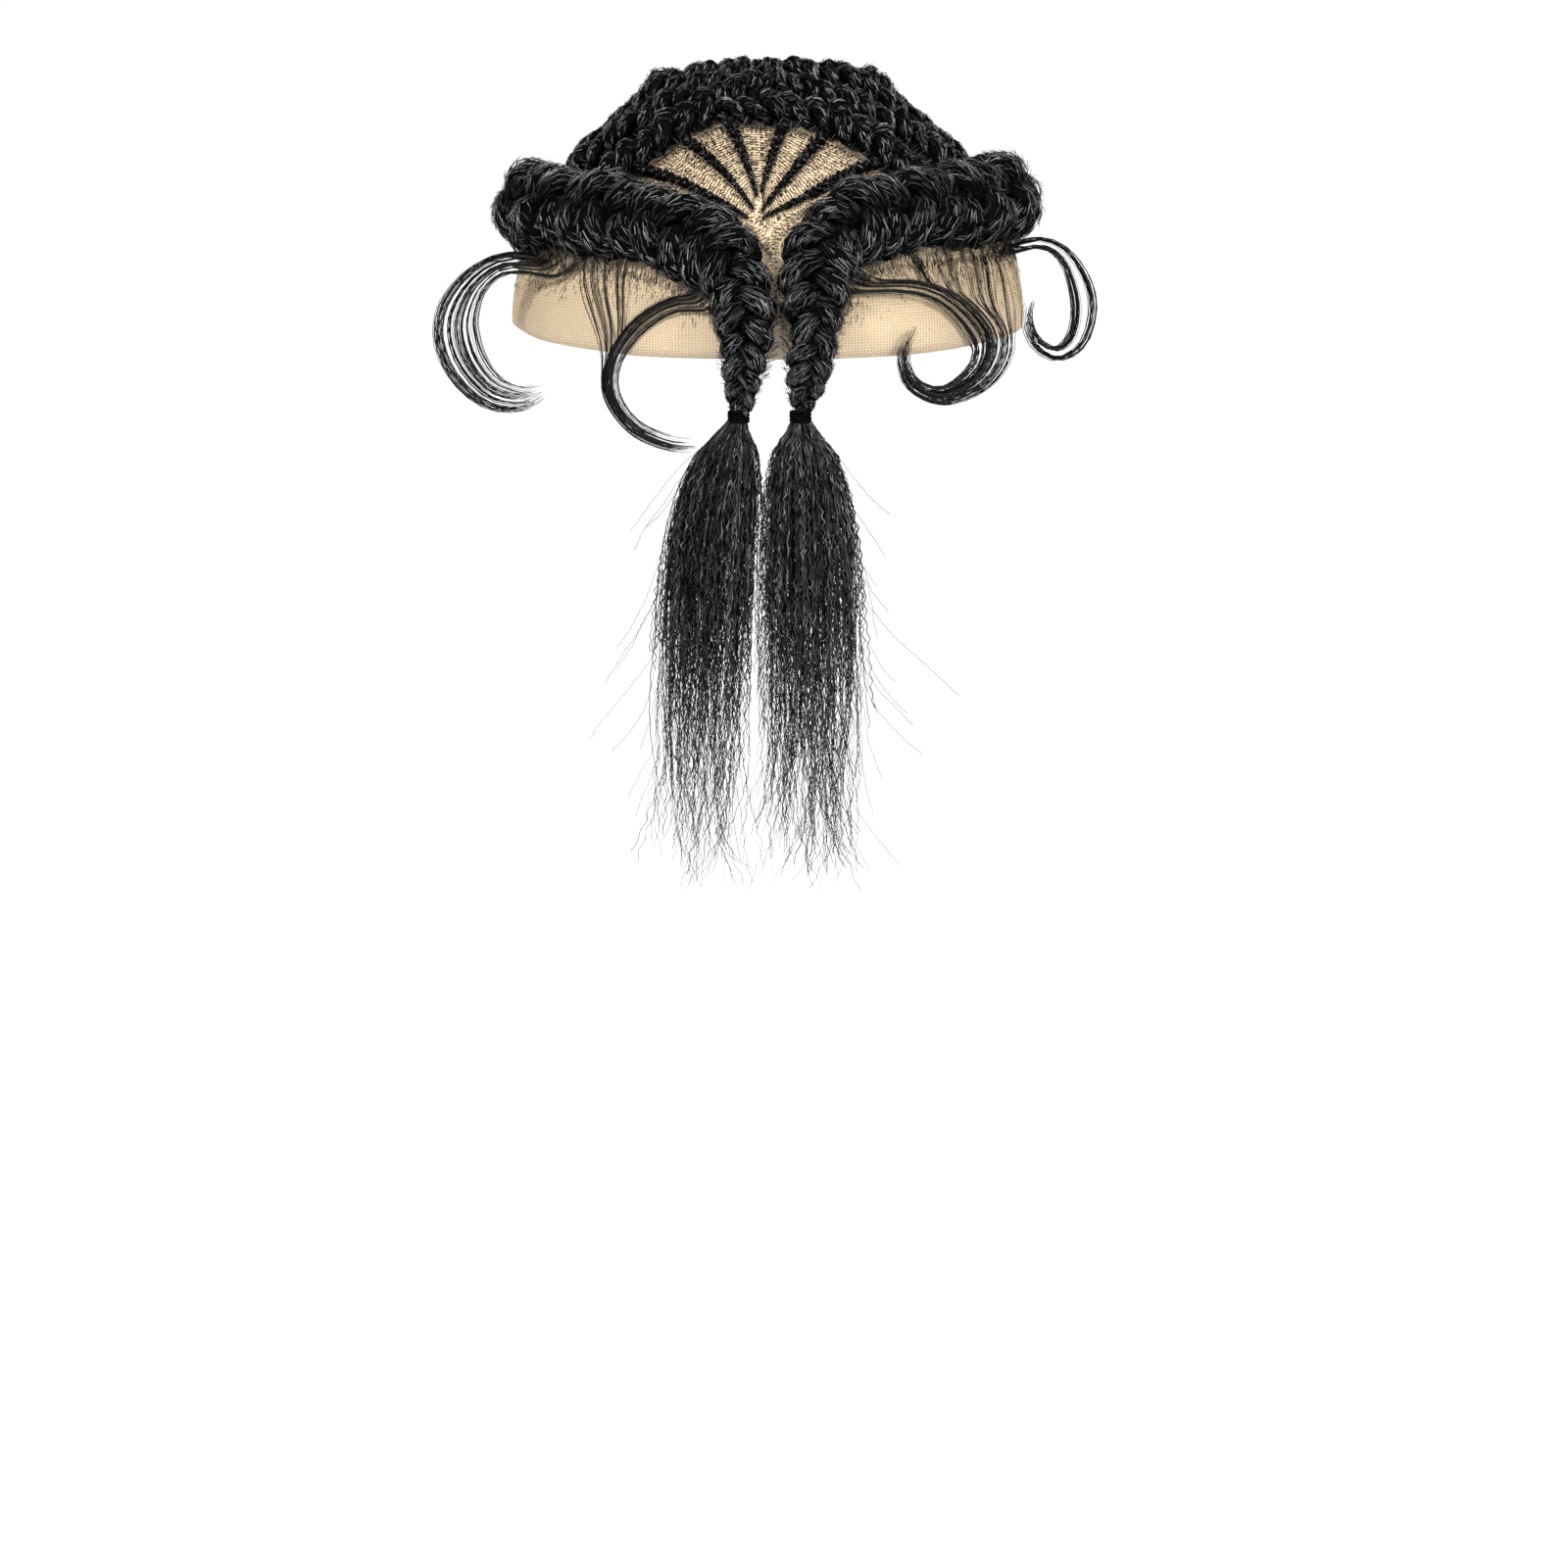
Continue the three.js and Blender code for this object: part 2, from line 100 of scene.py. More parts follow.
floor_mesh = bpy.data.meshes.new("floor")
floor_form = bmesh.new()
bmesh.ops.create_grid(floor_form, x_segments=1, y_segments=1, size=FLOOR_HALF)
bmesh.ops.translate(floor_form, verts=floor_form.verts, vec=(0.0, 0.0, FLOOR_LEVEL))
floor_form.to_mesh(floor_mesh)
floor_form.free()
floor = bpy.data.objects.new("floor", floor_mesh)
bpy.context.collection.objects.link(floor)
floor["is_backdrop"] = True

# %% Soft light
SOFTBOXES = [
    # name, place, target, width, power
    ("key_left", (-1.1, -1.6, 1.0), (0.0, -0.05, -0.08), 0.4, 52.0),
    ("fill_right", (1.4, -1.4, 0.7), (0.0, -0.05, -0.1), 0.4, 40.0),
    ("top", (0.1, -0.6, 1.5), (0.0, -0.03, -0.05), 0.5, 28.0),
]
STUDIO_GLOW = 0.1


def add_softbox(name, place, target, width, power):
    light = bpy.data.lights.new(name, "AREA")
    light.size = width
    light.energy = power
    lamp = bpy.data.objects.new(name, light)
    bpy.context.collection.objects.link(lamp)
    lamp.location = place
    lamp.rotation_euler = (Vector(target) - Vector(place)).to_track_quat("-Z", "Y").to_euler()


for softbox in SOFTBOXES:
    add_softbox(*softbox)

studio = bpy.data.worlds.new("studio")
bpy.context.scene.world = studio
studio.use_nodes = True
studio.node_tree.nodes["Background"].inputs["Color"].default_value = (1.0, 1.0, 1.0, 1.0)
studio.node_tree.nodes["Background"].inputs["Strength"].default_value = STUDIO_GLOW
print("softboxes:", len(SOFTBOXES))

# %% [markdown]
# ## Finishes
# Each finish is a small node tree on the Principled shader. Hair gets its life from two things: every
# fibre carries a tone attribute, so that no two neighbours are quite the same black, and a smooth
# sheen along the fibre picks up the softboxes. A few fibres are painted much paler than the rest: a
# painted highlight that stands in for the grey streaks of light on a black braid.


# %% Material helpers
def new_finish(name):
    finish = bpy.data.materials.new(name)
    finish.use_nodes = True
    nodes = finish.node_tree.nodes
    return finish, nodes, finish.node_tree.links, nodes["Principled BSDF"]


def colour_ramp(nodes, links, value, stops):
    ramp = nodes.new("ShaderNodeValToRGB")
    ends = ramp.color_ramp.elements
    for end, (place, colour) in ((ends[0], stops[0]), (ends[1], stops[-1])):
        end.position = place
        end.color = (*colour, 1.0)
    for place, colour in stops[1:-1]:
        ramp.color_ramp.elements.new(place).color = (*colour, 1.0)
    links.new(value, ramp.inputs["Fac"])
    return ramp.outputs["Color"]


def attribute_of(nodes, name):
    attribute = nodes.new("ShaderNodeAttribute")
    attribute.attribute_name = name
    return attribute.outputs["Fac"]


def map_range(nodes, links, value, low, high, to_low, to_high):
    node = nodes.new("ShaderNodeMapRange")
    for name, setting in (("From Min", low), ("From Max", high), ("To Min", to_low), ("To Max", to_high)):
        node.inputs[name].default_value = setting
    links.new(value, node.inputs["Value"])
    return node.outputs["Result"]


# %% Floor finish
pale_floor, _, _, floor_shader = new_finish("pale_floor")
floor_shader.inputs["Base Color"].default_value = (0.3, 0.3, 0.3, 1.0)
floor_shader.inputs["Roughness"].default_value = 0.9
floor_shader.inputs["Specular IOR Level"].default_value = 0.1
floor_shader.inputs["Emission Color"].default_value = (1.0, 1.0, 1.0, 1.0)
floor_shader.inputs["Emission Strength"].default_value = 1.0
floor_mesh.materials.append(pale_floor)

# %% Hair finishes
MIDDLE_MIX = 0.25  # share of the light colour in a fibre of middle tone
BRIGHTEST_SHEEN = 0.2


def hair_finish(name, dark, light, roughness):
    finish, nodes, links, shader = new_finish(name)
    tone = attribute_of(nodes, "tone")
    middle = tuple((1 - MIDDLE_MIX) * a + MIDDLE_MIX * b for a, b in zip(dark, light))
    stops = [(0.0, dark), (0.5, middle), (1.0, light)]
    links.new(colour_ramp(nodes, links, tone, stops), shader.inputs["Base Color"])
    sheen = map_range(nodes, links, tone, 0.0, 1.0, 0.0, BRIGHTEST_SHEEN)
    links.new(sheen, shader.inputs["Specular IOR Level"])
    shader.inputs["Roughness"].default_value = roughness
    return finish


# The light colours of braid_fibre and loose_fibre are painted highlights: pale streaks and glints that
# stand in for the shine of black hair. The curl fibre's light colour is only its own slightly paler tone.
braid_fibre = hair_finish("braid_fibre", (0.0008, 0.0008, 0.0008), (0.4, 0.403, 0.41), 0.35)
loose_fibre = hair_finish("loose_fibre", (0.0012, 0.0011, 0.001), (0.24, 0.237, 0.236), 0.35)
curl_fibre = hair_finish("curl_fibre", (0.0012, 0.0012, 0.0012), (0.03, 0.029, 0.03), 0.3)


# %% Bundle finish
def bundle_finish():
    finish, nodes, links, shader = new_finish("bundle_core")
    coordinates = nodes.new("ShaderNodeTexCoord")
    noise = nodes.new("ShaderNodeTexNoise")
    noise.inputs["Scale"].default_value = 900.0
    noise.inputs["Detail"].default_value = 4.0
    links.new(coordinates.outputs["Object"], noise.inputs["Vector"])
    stops = [(0.35, (0.0006, 0.0006, 0.0006)), (0.7, (0.003, 0.003, 0.0033))]
    links.new(colour_ramp(nodes, links, noise.outputs["Fac"], stops), shader.inputs["Base Color"])
    bump = nodes.new("ShaderNodeBump")
    bump.inputs["Strength"].default_value = 0.8
    bump.inputs["Distance"].default_value = 0.0006
    links.new(noise.outputs["Fac"], bump.inputs["Height"])
    links.new(bump.outputs["Normal"], shader.inputs["Normal"])
    shader.inputs["Roughness"].default_value = 0.65
    shader.inputs["Specular IOR Level"].default_value = 0.01
    return finish


bundle_core = bundle_finish()
print("hair finishes:", braid_fibre.name, loose_fibre.name, curl_fibre.name, bundle_core.name)

# %% [markdown]
# ## The shape of the head
# Everything sits on one rounded form: a superellipse from side to side, front to back and down from
# the crown. A bearing of 0 is the middle of the back, and the polar angle opens down from the crown.
# The functions take whole arrays, so that one call places thousands of points.

# %% Head form
HEAD_HALF_WIDTH = 83.5
HEAD_HALF_LENGTH = 96.0
CROWN_HEIGHT = 77.0
ROUNDNESS = 1.85
LACE_WALL = 1.0
SEAT_LIFT = LACE_WALL + 0.15  # a plait sits just clear of the lace
DROP_PER_DEGREE = math.radians(CROWN_HEIGHT)  # below the widest ring a polar angle is a straight drop
DEEPEST_SHARE = 0.3  # points nearer the middle of the head than this aren't brought all the way out
TINY = 1e-6


def signed_power(value, exponent):
    return np.sign(value) * np.abs(value) ** exponent


def unit(vectors):
    length = np.linalg.norm(vectors, axis=-1, keepdims=True)
    return vectors / np.maximum(length, TINY)


def head_point(bearing, polar, lift=SEAT_LIFT):
    bearing = np.radians(bearing)
    polar = np.radians(polar)
    ring = signed_power(np.sin(polar), 2 / ROUNDNESS)
    rise = signed_power(np.cos(polar), 2 / ROUNDNESS)
    x = (HEAD_HALF_WIDTH + lift) * ring * np.sin(bearing)
    y = -(HEAD_HALF_LENGTH + lift) * ring * np.cos(bearing)
    z = (CROWN_HEIGHT + lift) * rise - CROWN_HEIGHT
    return np.stack([x, y, z], axis=-1)


def seat_point(bearing, polar, lift=SEAT_LIFT):
    seat = head_point(bearing, np.minimum(polar, 90.0), lift)
    seat[..., 2] -= np.maximum(0.0, polar - 90.0) * DROP_PER_DEGREE
    return seat


def plan_angles(x, y):
    across = x / (HEAD_HALF_WIDTH + SEAT_LIFT)
    along = -y / (HEAD_HALF_LENGTH + SEAT_LIFT)
    reach = np.minimum(np.hypot(across, along), 1.0)
    return np.degrees(np.arctan2(across, along)), np.degrees(np.arcsin(reach ** (ROUNDNESS / 2)))


# %% Directions on the head
def outward_at(points):
    x, y, z = np.moveaxis(points, -1, 0)
    across = np.maximum(np.hypot(x / HEAD_HALF_WIDTH, y / HEAD_HALF_LENGTH), TINY)
    flare = across ** (ROUNDNESS - 2)
    rise = np.maximum(0.0, z / CROWN_HEIGHT + 1)
    slope = [flare * x / HEAD_HALF_WIDTH**2, flare * y / HEAD_HALF_LENGTH**2]
    slope.append(rise ** (ROUNDNESS - 1) / CROWN_HEIGHT)
    return unit(np.stack(slope, axis=-1))


def across_surface(directions, outward):
    return unit(directions - outward * np.sum(directions * outward, axis=-1, keepdims=True))


def clear_of_lace(points, lift):
    """Moves any point that lies inside the head out to just above the lace."""
    centred = points + [0.0, 0.0, CROWN_HEIGHT]
    x, y, z = np.moveaxis(centred, -1, 0)
    ring = np.hypot(x / (HEAD_HALF_WIDTH + lift), y / (HEAD_HALF_LENGTH + lift))
    rise = np.maximum(0.0, z / (CROWN_HEIGHT + lift))
    depth = (ring**ROUNDNESS + rise**ROUNDNESS) ** (1 / ROUNDNESS)
    grow = 1 / np.clip(depth, DEEPEST_SHARE, 1.0)
    grown = np.stack([x * grow, y * grow, np.where(z > 0, z * grow, z)], axis=-1)
    return grown - [0.0, 0.0, CROWN_HEIGHT]


print("crown of the lace at", np.round(head_point(0.0, 0.0, LACE_WALL), 1))

# %% [markdown]
# ## Hair as geometry
# A hair could be a curve object or a particle, but neither survives an export as a solid. Here every
# hair is a closed tube with three sides, thinned to a tip, and thousands of them are built at once
# from arrays. Three sides are enough, because a hair is never more than a pixel or two wide.


# %% Curves and shares
def curve_through(points, shares):
    """A smooth curve through rows of numbers, read at shares from 0 to 1."""
    points = np.asarray(points, float)
    last = len(points) - 1
    place = np.clip(shares, 0.0, 1.0) * last
    low = np.minimum(place.astype(int), last - 1)
    u = (place - low)[..., None]
    before, start = points[np.maximum(low - 1, 0)], points[low]
    end, after = points[low + 1], points[np.minimum(low + 2, last)]
    leave, arrive = (end - before) / 2, (after - start) / 2
    bend = (2 * start - 2 * end + leave + arrive) * u**3
    return bend + (3 * end - 3 * start - 2 * leave - arrive) * u**2 + leave * u + start


def share_between(value, start, end):
    """How far a value has come from start to end, held between 0 and 1."""
    return np.clip((value - start) / (end - start), 0.0, 1.0)


# %% Strand arrays
HAIR_SIDES = 3
SIDE_GUIDE = [0.31, -0.57, 0.76]  # a slanted direction, so that hardly any hair runs along it


def strand_arrays(paths, radii):
    """Vertices and triangles of closed three-sided tubes along paths of shape (strands, points, 3)."""
    count, points, _ = paths.shape
    along = unit(np.gradient(paths, axis=1))
    guide = unit(np.cross(along[:, :1], SIDE_GUIDE) + TINY)
    side = across_surface(np.broadcast_to(guide, along.shape), along)
    other = np.cross(along, side)
    turns = np.arange(HAIR_SIDES) * 2 * math.pi / HAIR_SIDES
    ring = np.cos(turns)[:, None] * side[:, :, None] + np.sin(turns)[:, None] * other[:, :, None]
    vertices = (paths[:, :, None] + ring * radii[:, :, None, None]).reshape(-1, 3)
    step = np.arange(points - 1)[:, None] * HAIR_SIDES
    corner = np.arange(HAIR_SIDES)[None]
    near, beside = step + corner, step + (corner + 1) % HAIR_SIDES
    last = (points - 1) * HAIR_SIDES
    strand = np.concatenate(
        [
            np.stack([near, beside, beside + HAIR_SIDES], -1).reshape(-1, 3),
            np.stack([near, beside + HAIR_SIDES, near + HAIR_SIDES], -1).reshape(-1, 3),
            [[0, 2, 1], [last, last + 1, last + 2]],
        ]
    )
    faces = strand[None] + (np.arange(count) * points * HAIR_SIDES)[:, None, None]
    return vertices, faces.reshape(-1, 3)


# %% Hair meshes and pieces
def hair_mesh(name, batches):
    """One mesh from batches of (paths, radii, tones), with a tone for each strand or for each point."""
    vertices, faces, tones, base = [], [], [], 0
    for paths, radii, tone in batches:
        places, corners = strand_arrays(paths, radii)
        vertices.append(places * MM)
        faces.append(corners + base)
        point_tones = np.broadcast_to(tone.reshape(len(paths), -1), paths.shape[:2])
        tones.append(np.repeat(point_tones, HAIR_SIDES))
        base += len(places)
    mesh = bpy.data.meshes.new(name)
    mesh.from_pydata(np.concatenate(vertices), [], np.concatenate(faces))
    mesh.attributes.new("tone", "FLOAT", "POINT").data.foreach_set("value", np.concatenate(tones))
    mesh.polygons.foreach_set("use_smooth", np.ones(len(mesh.polygons), bool))
    return mesh


triangle_tally = {}


def add_piece(name, mesh, finishes, replaced=()):
    for finish in finishes:
        mesh.materials.append(finish)
    piece = bpy.data.objects.new(name, mesh)
    bpy.context.collection.objects.link(piece)
    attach(piece, "root")
    for node in replaced:
        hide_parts(node)
    triangle_tally[name] = len(mesh.loops) - 2 * len(mesh.polygons)
    print(name, "triangles:", triangle_tally[name])
    return piece


# %% [markdown]
# ## Routes
# Each plait follows a route over the head. A route is sampled once, finely, and stored with its frame
# (along, outward, sideways), its sizes, and a count of lobes from the start. Lobes are the natural
# ruler of a plait: everything that repeats is placed by lobe and not by millimetre.


# %% Route sampling
def make_route(seat_of, sizes, samples=700):
    shares = np.linspace(0.0, 1.0, samples)
    seats = seat_of(shares)
    along = unit(np.gradient(seats, axis=0))
    outward = across_surface(outward_at(seats), along)
    sideways = np.cross(outward, along)
    rows = np.linspace(0.0, 1.0, len(sizes))
    width, height, pitch = (np.interp(shares, rows, column) for column in zip(*sizes))
    steps = np.linalg.norm(np.diff(seats, axis=0), axis=1)
    lobes = np.concatenate([[0.0], np.cumsum(2 * steps / (pitch[1:] + pitch[:-1]))])
    table = np.column_stack([seats, along, outward, sideways, width, height, pitch])
    return {
        "lobes": lobes,
        "table": table,
        "total": lobes[-1],
        "seats": seats,
        "width": width,
        "phase": float(np.sum(seats[0])),
    }


def read_route(route, lobes):
    """Seat, along, outward, sideways, width, height and pitch at places counted in lobes."""
    flat = np.ravel(lobes)
    columns = [np.interp(flat, route["lobes"], column) for column in route["table"].T]
    read = np.stack(columns, axis=-1).reshape(*np.shape(lobes), -1)
    seat, along, outward, sideways = (read[..., i : i + 3] for i in (0, 3, 6, 9))
    return seat, unit(along), unit(outward), unit(sideways), *np.moveaxis(read[..., 12:], -1, 0)


# %% [markdown]
# ## A plait of three bundles
# In a cornrow the outer bundle always passes under the middle one, so each bundle shows on top while
# it runs from the middle out to an edge, and hides while it returns. Seen from above that gives
# chevrons. A sine swings the bundle from side to side. A sine of twice the rate lifts and sinks it, a
# little early, so that it is already up when it crosses the middle and is down on the lace at the
# edge. The bundle swells where it shows, so that each lobe is a leaf and not a rope.

# %% Bundle path
BUNDLES = 3
CROSSING_LEAD = math.radians(18.0)
FIRST_PASS = BUNDLES * (math.pi / 2 - CROSSING_LEAD) / (4 * math.pi)
WIDTH_WAVE = 0.07  # slow unevenness along a plait: shares of a size, and radians a lobe
WIDTH_WAVE_RATE = 1.7
HEIGHT_WAVE = 0.14
HEIGHT_WAVE_RATE = 2.6
FIRST_GIRTH = 0.19  # half width of a bundle, as a share of the plait's width, before it is fitted
WIDEST_GIRTH = 0.3
GIRTH_OF_PITCH = 0.49  # a fitted bundle nearly fills the room between its neighbours
GIRTH_FITS = 3
BUNDLE_DEPTH = 0.29  # half depth of a bundle, as a share of the plait's height
HIDDEN_SWELL = 0.86
SHOWN_SWELL = 0.26
MIDDLE_RISE = 0.54  # height of a bundle's middle, its drop at the edges and its lift over a crossing
EDGE_DROP = 0.13
CROSSING_LIFT = 0.25
LOBE_STEP = 0.02


def bundle_axes(route, strand, lobes):
    seat, _, outward, sideways, width, height, pitch = read_route(route, lobes)
    width = width * (1 + WIDTH_WAVE * np.sin(WIDTH_WAVE_RATE * lobes + route["phase"]))
    height = height * (1 + HEIGHT_WAVE * np.sin(HEIGHT_WAVE_RATE * lobes + 2 * route["phase"]))
    girth = FIRST_GIRTH * width
    for _ in range(GIRTH_FITS):
        slant = np.arctan2((width / 2 - girth) * 2 * math.pi / BUNDLES, pitch)
        girth = np.minimum(GIRTH_OF_PITCH * pitch * np.sin(slant), WIDEST_GIRTH * width)
    turn = 2 * math.pi * (lobes + strand) / BUNDLES
    over = np.sin(2 * turn + CROSSING_LEAD)
    swell = HIDDEN_SWELL + SHOWN_SWELL * np.maximum(0.0, over)
    swing = (width / 2 - girth) * np.sin(turn)
    rise = height * (MIDDLE_RISE - EDGE_DROP * np.sin(turn) ** 2 + CROSSING_LIFT * over)
    centre = seat + sideways * swing[..., None] + outward * rise[..., None]
    return centre, outward, girth * swell, BUNDLE_DEPTH * height * swell


def bundle_frame(route, strand, lobes):
    centre, outward, girth, depth = bundle_axes(route, strand, lobes)
    ahead = bundle_axes(route, strand, lobes + LOBE_STEP)[0]
    behind = bundle_axes(route, strand, lobes - LOBE_STEP)[0]
    heading = unit(ahead - behind)
    across = unit(np.cross(outward, heading))
    return centre, across, np.cross(heading, across), girth, depth


# %% Bundle cores
CORE_SIDES = 10
CORE_SHARE = 0.95  # the core stays just inside its bundle's fur
FEWEST_CORE_CUTS = 6


def add_core(form, route, strand, per_lobe):
    """A capped bar, cut into short lengths and bent along the path of one bundle."""
    count = max(FEWEST_CORE_CUTS, int(route["total"] * per_lobe))
    before = len(form.verts)
    bar = bmesh.ops.create_cone(
        form, cap_ends=True, segments=CORE_SIDES, radius1=1.0, radius2=1.0, depth=1.0
    )["verts"]
    edges = dict.fromkeys(edge for vert in bar for edge in vert.link_edges)
    long_edges = [edge for edge in edges if abs(edge.verts[0].co.z - edge.verts[1].co.z) > 0.5]
    bmesh.ops.subdivide_edges(form, edges=long_edges, cuts=count - 1, use_grid_fill=True)
    verts = list(form.verts)[before:]
    places = np.array([vert.co for vert in verts])
    lobes = (places[:, 2] + 0.5) * route["total"]
    centre, across, over, girth, depth = bundle_frame(route, strand, lobes)
    bent = centre + across * (places[:, 0] * girth * CORE_SHARE)[:, None]
    bent = bent + over * (places[:, 1] * depth * CORE_SHARE)[:, None]
    for vert, place in zip(verts, bent * MM):
        vert.co = place


# %% [markdown]
# ## Fur on the bundles
# Kinky hair never lies quite parallel. Each bristle covers only part of a lobe, swerves a little
# round the bundle and lifts off at its tip. Painted shade darkens them where a lobe comes up from under
# its neighbour, on its flanks and at their roots, so that together they give the soft lobes and deep
# creases of a braid.

# %% Bristles
PASS_SPACING = BUNDLES / 2  # lobes from one show of a bundle to its next
PASS_PAST_START = 0.4  # how far past the ends of a plait the middle of a pass may lie, in lobes
PASS_PAST_END = 0.3
CROSSED_WIDTH = 0.66  # share of the width that a pass is taken to cross in one lobe
FUR_PAST_END = 0.2
FUR_BEGIN = (-0.52, 0.46)  # where bristles start, in lobes from the middle of their pass
FUR_SPAN = (0.55, 1.3)  # their lengths, as shares of the reach
FUR_ROUND = (-20.0, 200.0)  # their places round the bundle, in degrees from one edge over the top
FUR_SWERVE = 0.45  # radians round the bundle, for a reach of half its width
FUR_PUFF = (0.95, 1.03)  # how far out they start and how far their tips lift, as shares of the bundle
FUR_LIFT = (0.02, 0.3)
FUR_GIRTH = (0.6, 1.2)  # their thicknesses, as shares of the one that is asked for
FUR_TAPER = np.array([[1.0, 0.4]])
FUR_TONE_POWER = 1.4
# painted shade at the roots: the share of a bristle's tone at its root and at its tip
FUR_ROOT_SHADE = np.array([[0.7, 1.0]])
FLANK_TO_TOP = (0.3, 0.8)  # heights round the bundle over which painted shade on the flank gives way to full tone
COMES_UP = (-0.34, -0.09)  # lobes over which a pass comes up from under its neighbour and dives again, with painted crease shade on its fur there
DIVES = (0.3, 0.5)


def lobe_fur(route, per_pass, reach, thickness, rng):
    """Short bristles laid back along every pass of a bundle over the top of the plait."""
    passes = []
    for strand in range(BUNDLES):
        steps = np.arange(int(route["total"] / PASS_SPACING) + 2 * BUNDLES)
        middles = FIRST_PASS - strand - BUNDLES + PASS_SPACING * steps
        inside = (middles > -PASS_PAST_START) & (middles < route["total"] + PASS_PAST_END)
        passes.extend((strand, middle) for middle in middles[inside])
    strands = np.repeat([strand for strand, _ in passes], per_pass)
    middles = np.repeat([middle for _, middle in passes], per_pass)
    count = len(strands)
    begin = rng.uniform(*FUR_BEGIN, count)
    width, _, pitch = read_route(route, middles + begin)[4:]
    span = reach * rng.uniform(*FUR_SPAN, count) / np.hypot(pitch, CROSSED_WIDTH * width)
    share = np.array([[0.0, 1.0]])
    lobes = (middles + begin)[:, None] + span[:, None] * share
    lobes = np.clip(lobes, 0.0, route["total"] + FUR_PAST_END)
    angle = np.radians(rng.uniform(*FUR_ROUND, count))
    # painted shade: fur on the flanks of a bundle is darkened
    flank_shade = share_between(np.sin(angle), *FLANK_TO_TOP)
    swerve = rng.normal(0.0, FUR_SWERVE, count) * reach / (WIDEST_GIRTH * width)
    angle = angle[:, None] + swerve[:, None] * share
    lift = rng.uniform(*FUR_LIFT, count)[:, None] * share
    puff = rng.uniform(*FUR_PUFF, count)[:, None] + lift
    centre, across, over, girth, depth = bundle_frame(route, strands[:, None], lobes)
    paths = centre + across * (np.cos(angle) * girth * puff)[..., None]
    paths = paths + over * (np.sin(angle) * depth * puff)[..., None]
    radii = thickness * rng.uniform(*FUR_GIRTH, count)[:, None] * FUR_TAPER
    # Painted shade: the random tone is darkened on the flanks of the bundle, in the creases where a pass
    # comes up and dives, and towards the roots.
    crease_shade = np.minimum(share_between(begin, *COMES_UP), 1 - share_between(begin, *DIVES))
    tone = (rng.random(count) ** FUR_TONE_POWER * flank_shade * crease_shade)[:, None] * FUR_ROOT_SHADE
    return paths, radii, tone


# %% Stray hairs
STRAY_FAN = 75.0  # degrees to each side of straight out
STRAY_SIDE = 0.46  # where strays start: out to the edge, as a share of the width
STRAY_LOW = 0.35  # and up from the edge to the top, as shares of the height
STRAY_RISE = 0.5
STRAY_AWAY = 0.8  # their aim: away from the plait, ahead along it (mean and spread), and scattered
STRAY_AHEAD = (0.3, 0.6)
STRAY_SCATTER = 0.35
STRAY_CURL = 0.3
STRAY_LENGTH = (0.35, 1.0)
STRAY_RADIUS = 0.05
STRAY_TAPER = np.array([[1.0, 0.9, 0.75, 0.4]])
STRAY_TONE = 0.5


def stray_hairs(route, count, reach, rng):
    """Fine hairs that stand off the top of a plait."""
    lobes = rng.uniform(0.0, route["total"], count)
    seat, along, outward, sideways, width, height, _ = read_route(route, lobes)
    turn = np.radians(rng.uniform(-STRAY_FAN, STRAY_FAN, count))[:, None]
    away = sideways * np.sin(turn) + outward * np.cos(turn)
    root = seat + sideways * (np.sin(turn) * width[:, None] * STRAY_SIDE)
    root = root + outward * (height[:, None] * (STRAY_LOW + STRAY_RISE * np.cos(turn)))
    aim = away * STRAY_AWAY + along * rng.normal(*STRAY_AHEAD, (count, 1))
    aim = unit(aim + rng.normal(0.0, STRAY_SCATTER, (count, 3)))
    curl = rng.normal(0.0, STRAY_CURL, (count, 3))
    length = rng.uniform(*STRAY_LENGTH, count)[:, None, None] * reach
    share = np.linspace(0.0, 1.0, STRAY_TAPER.size)[None, :, None]
    paths = root[:, None] + (aim[:, None] * share + curl[:, None] * share**2) * length
    radii = np.full((count, 1), STRAY_RADIUS) * STRAY_TAPER
    return paths, radii, rng.random(count) * STRAY_TONE


# %% Fringe along the edges
FRINGE_FOOT = (0.44, 0.62)  # where hairs leave the lace beside the plait, as shares of its width
FRINGE_BACK = (-0.1, 0.5)  # and how far back along it, in lobes
FRINGE_TIP = (0.36, 0.47)  # where they end: across, and up as shares of the height
FRINGE_RISE = (0.3, 0.62)
FRINGE_LIFT = 0.1
FRINGE_RADIUS = 0.14
FRINGE_OF_WIDTH = 0.02  # on a fine plait the radius is at most this share of the width
FRINGE_GIRTH = (0.5, 1.0)
FRINGE_TAPER = np.array([[1.0, 0.5]])
FRINGE_TONE = 0.6


def edge_fringe(route, spacing, rng):
    """Short hairs from the lace up into both edges of a plait."""
    length = np.sum(np.linalg.norm(np.diff(route["seats"], axis=0), axis=1))
    count = int(2 * length / spacing)
    lobes = rng.uniform(0.0, route["total"], count)
    seat, along, outward, sideways, width, height, pitch = read_route(route, lobes)
    edge = rng.choice([-1.0, 1.0], count)[:, None] * sideways
    low = seat + edge * (width * rng.uniform(*FRINGE_FOOT, count))[:, None]
    low = low - along * (rng.uniform(*FRINGE_BACK, count) * pitch)[:, None]
    high = seat + edge * (width * rng.uniform(*FRINGE_TIP, count))[:, None]
    high = high + outward * (height * rng.uniform(*FRINGE_RISE, count))[:, None]
    paths = clear_of_lace(np.stack([low, high], axis=1), LACE_WALL + FRINGE_LIFT)
    thickest = np.minimum(FRINGE_RADIUS, width * FRINGE_OF_WIDTH)
    radii = rng.uniform(*FRINGE_GIRTH, count)[:, None] * thickest[:, None] * FRINGE_TAPER
    return paths, radii, FRINGE_TONE * rng.random(count) ** 2


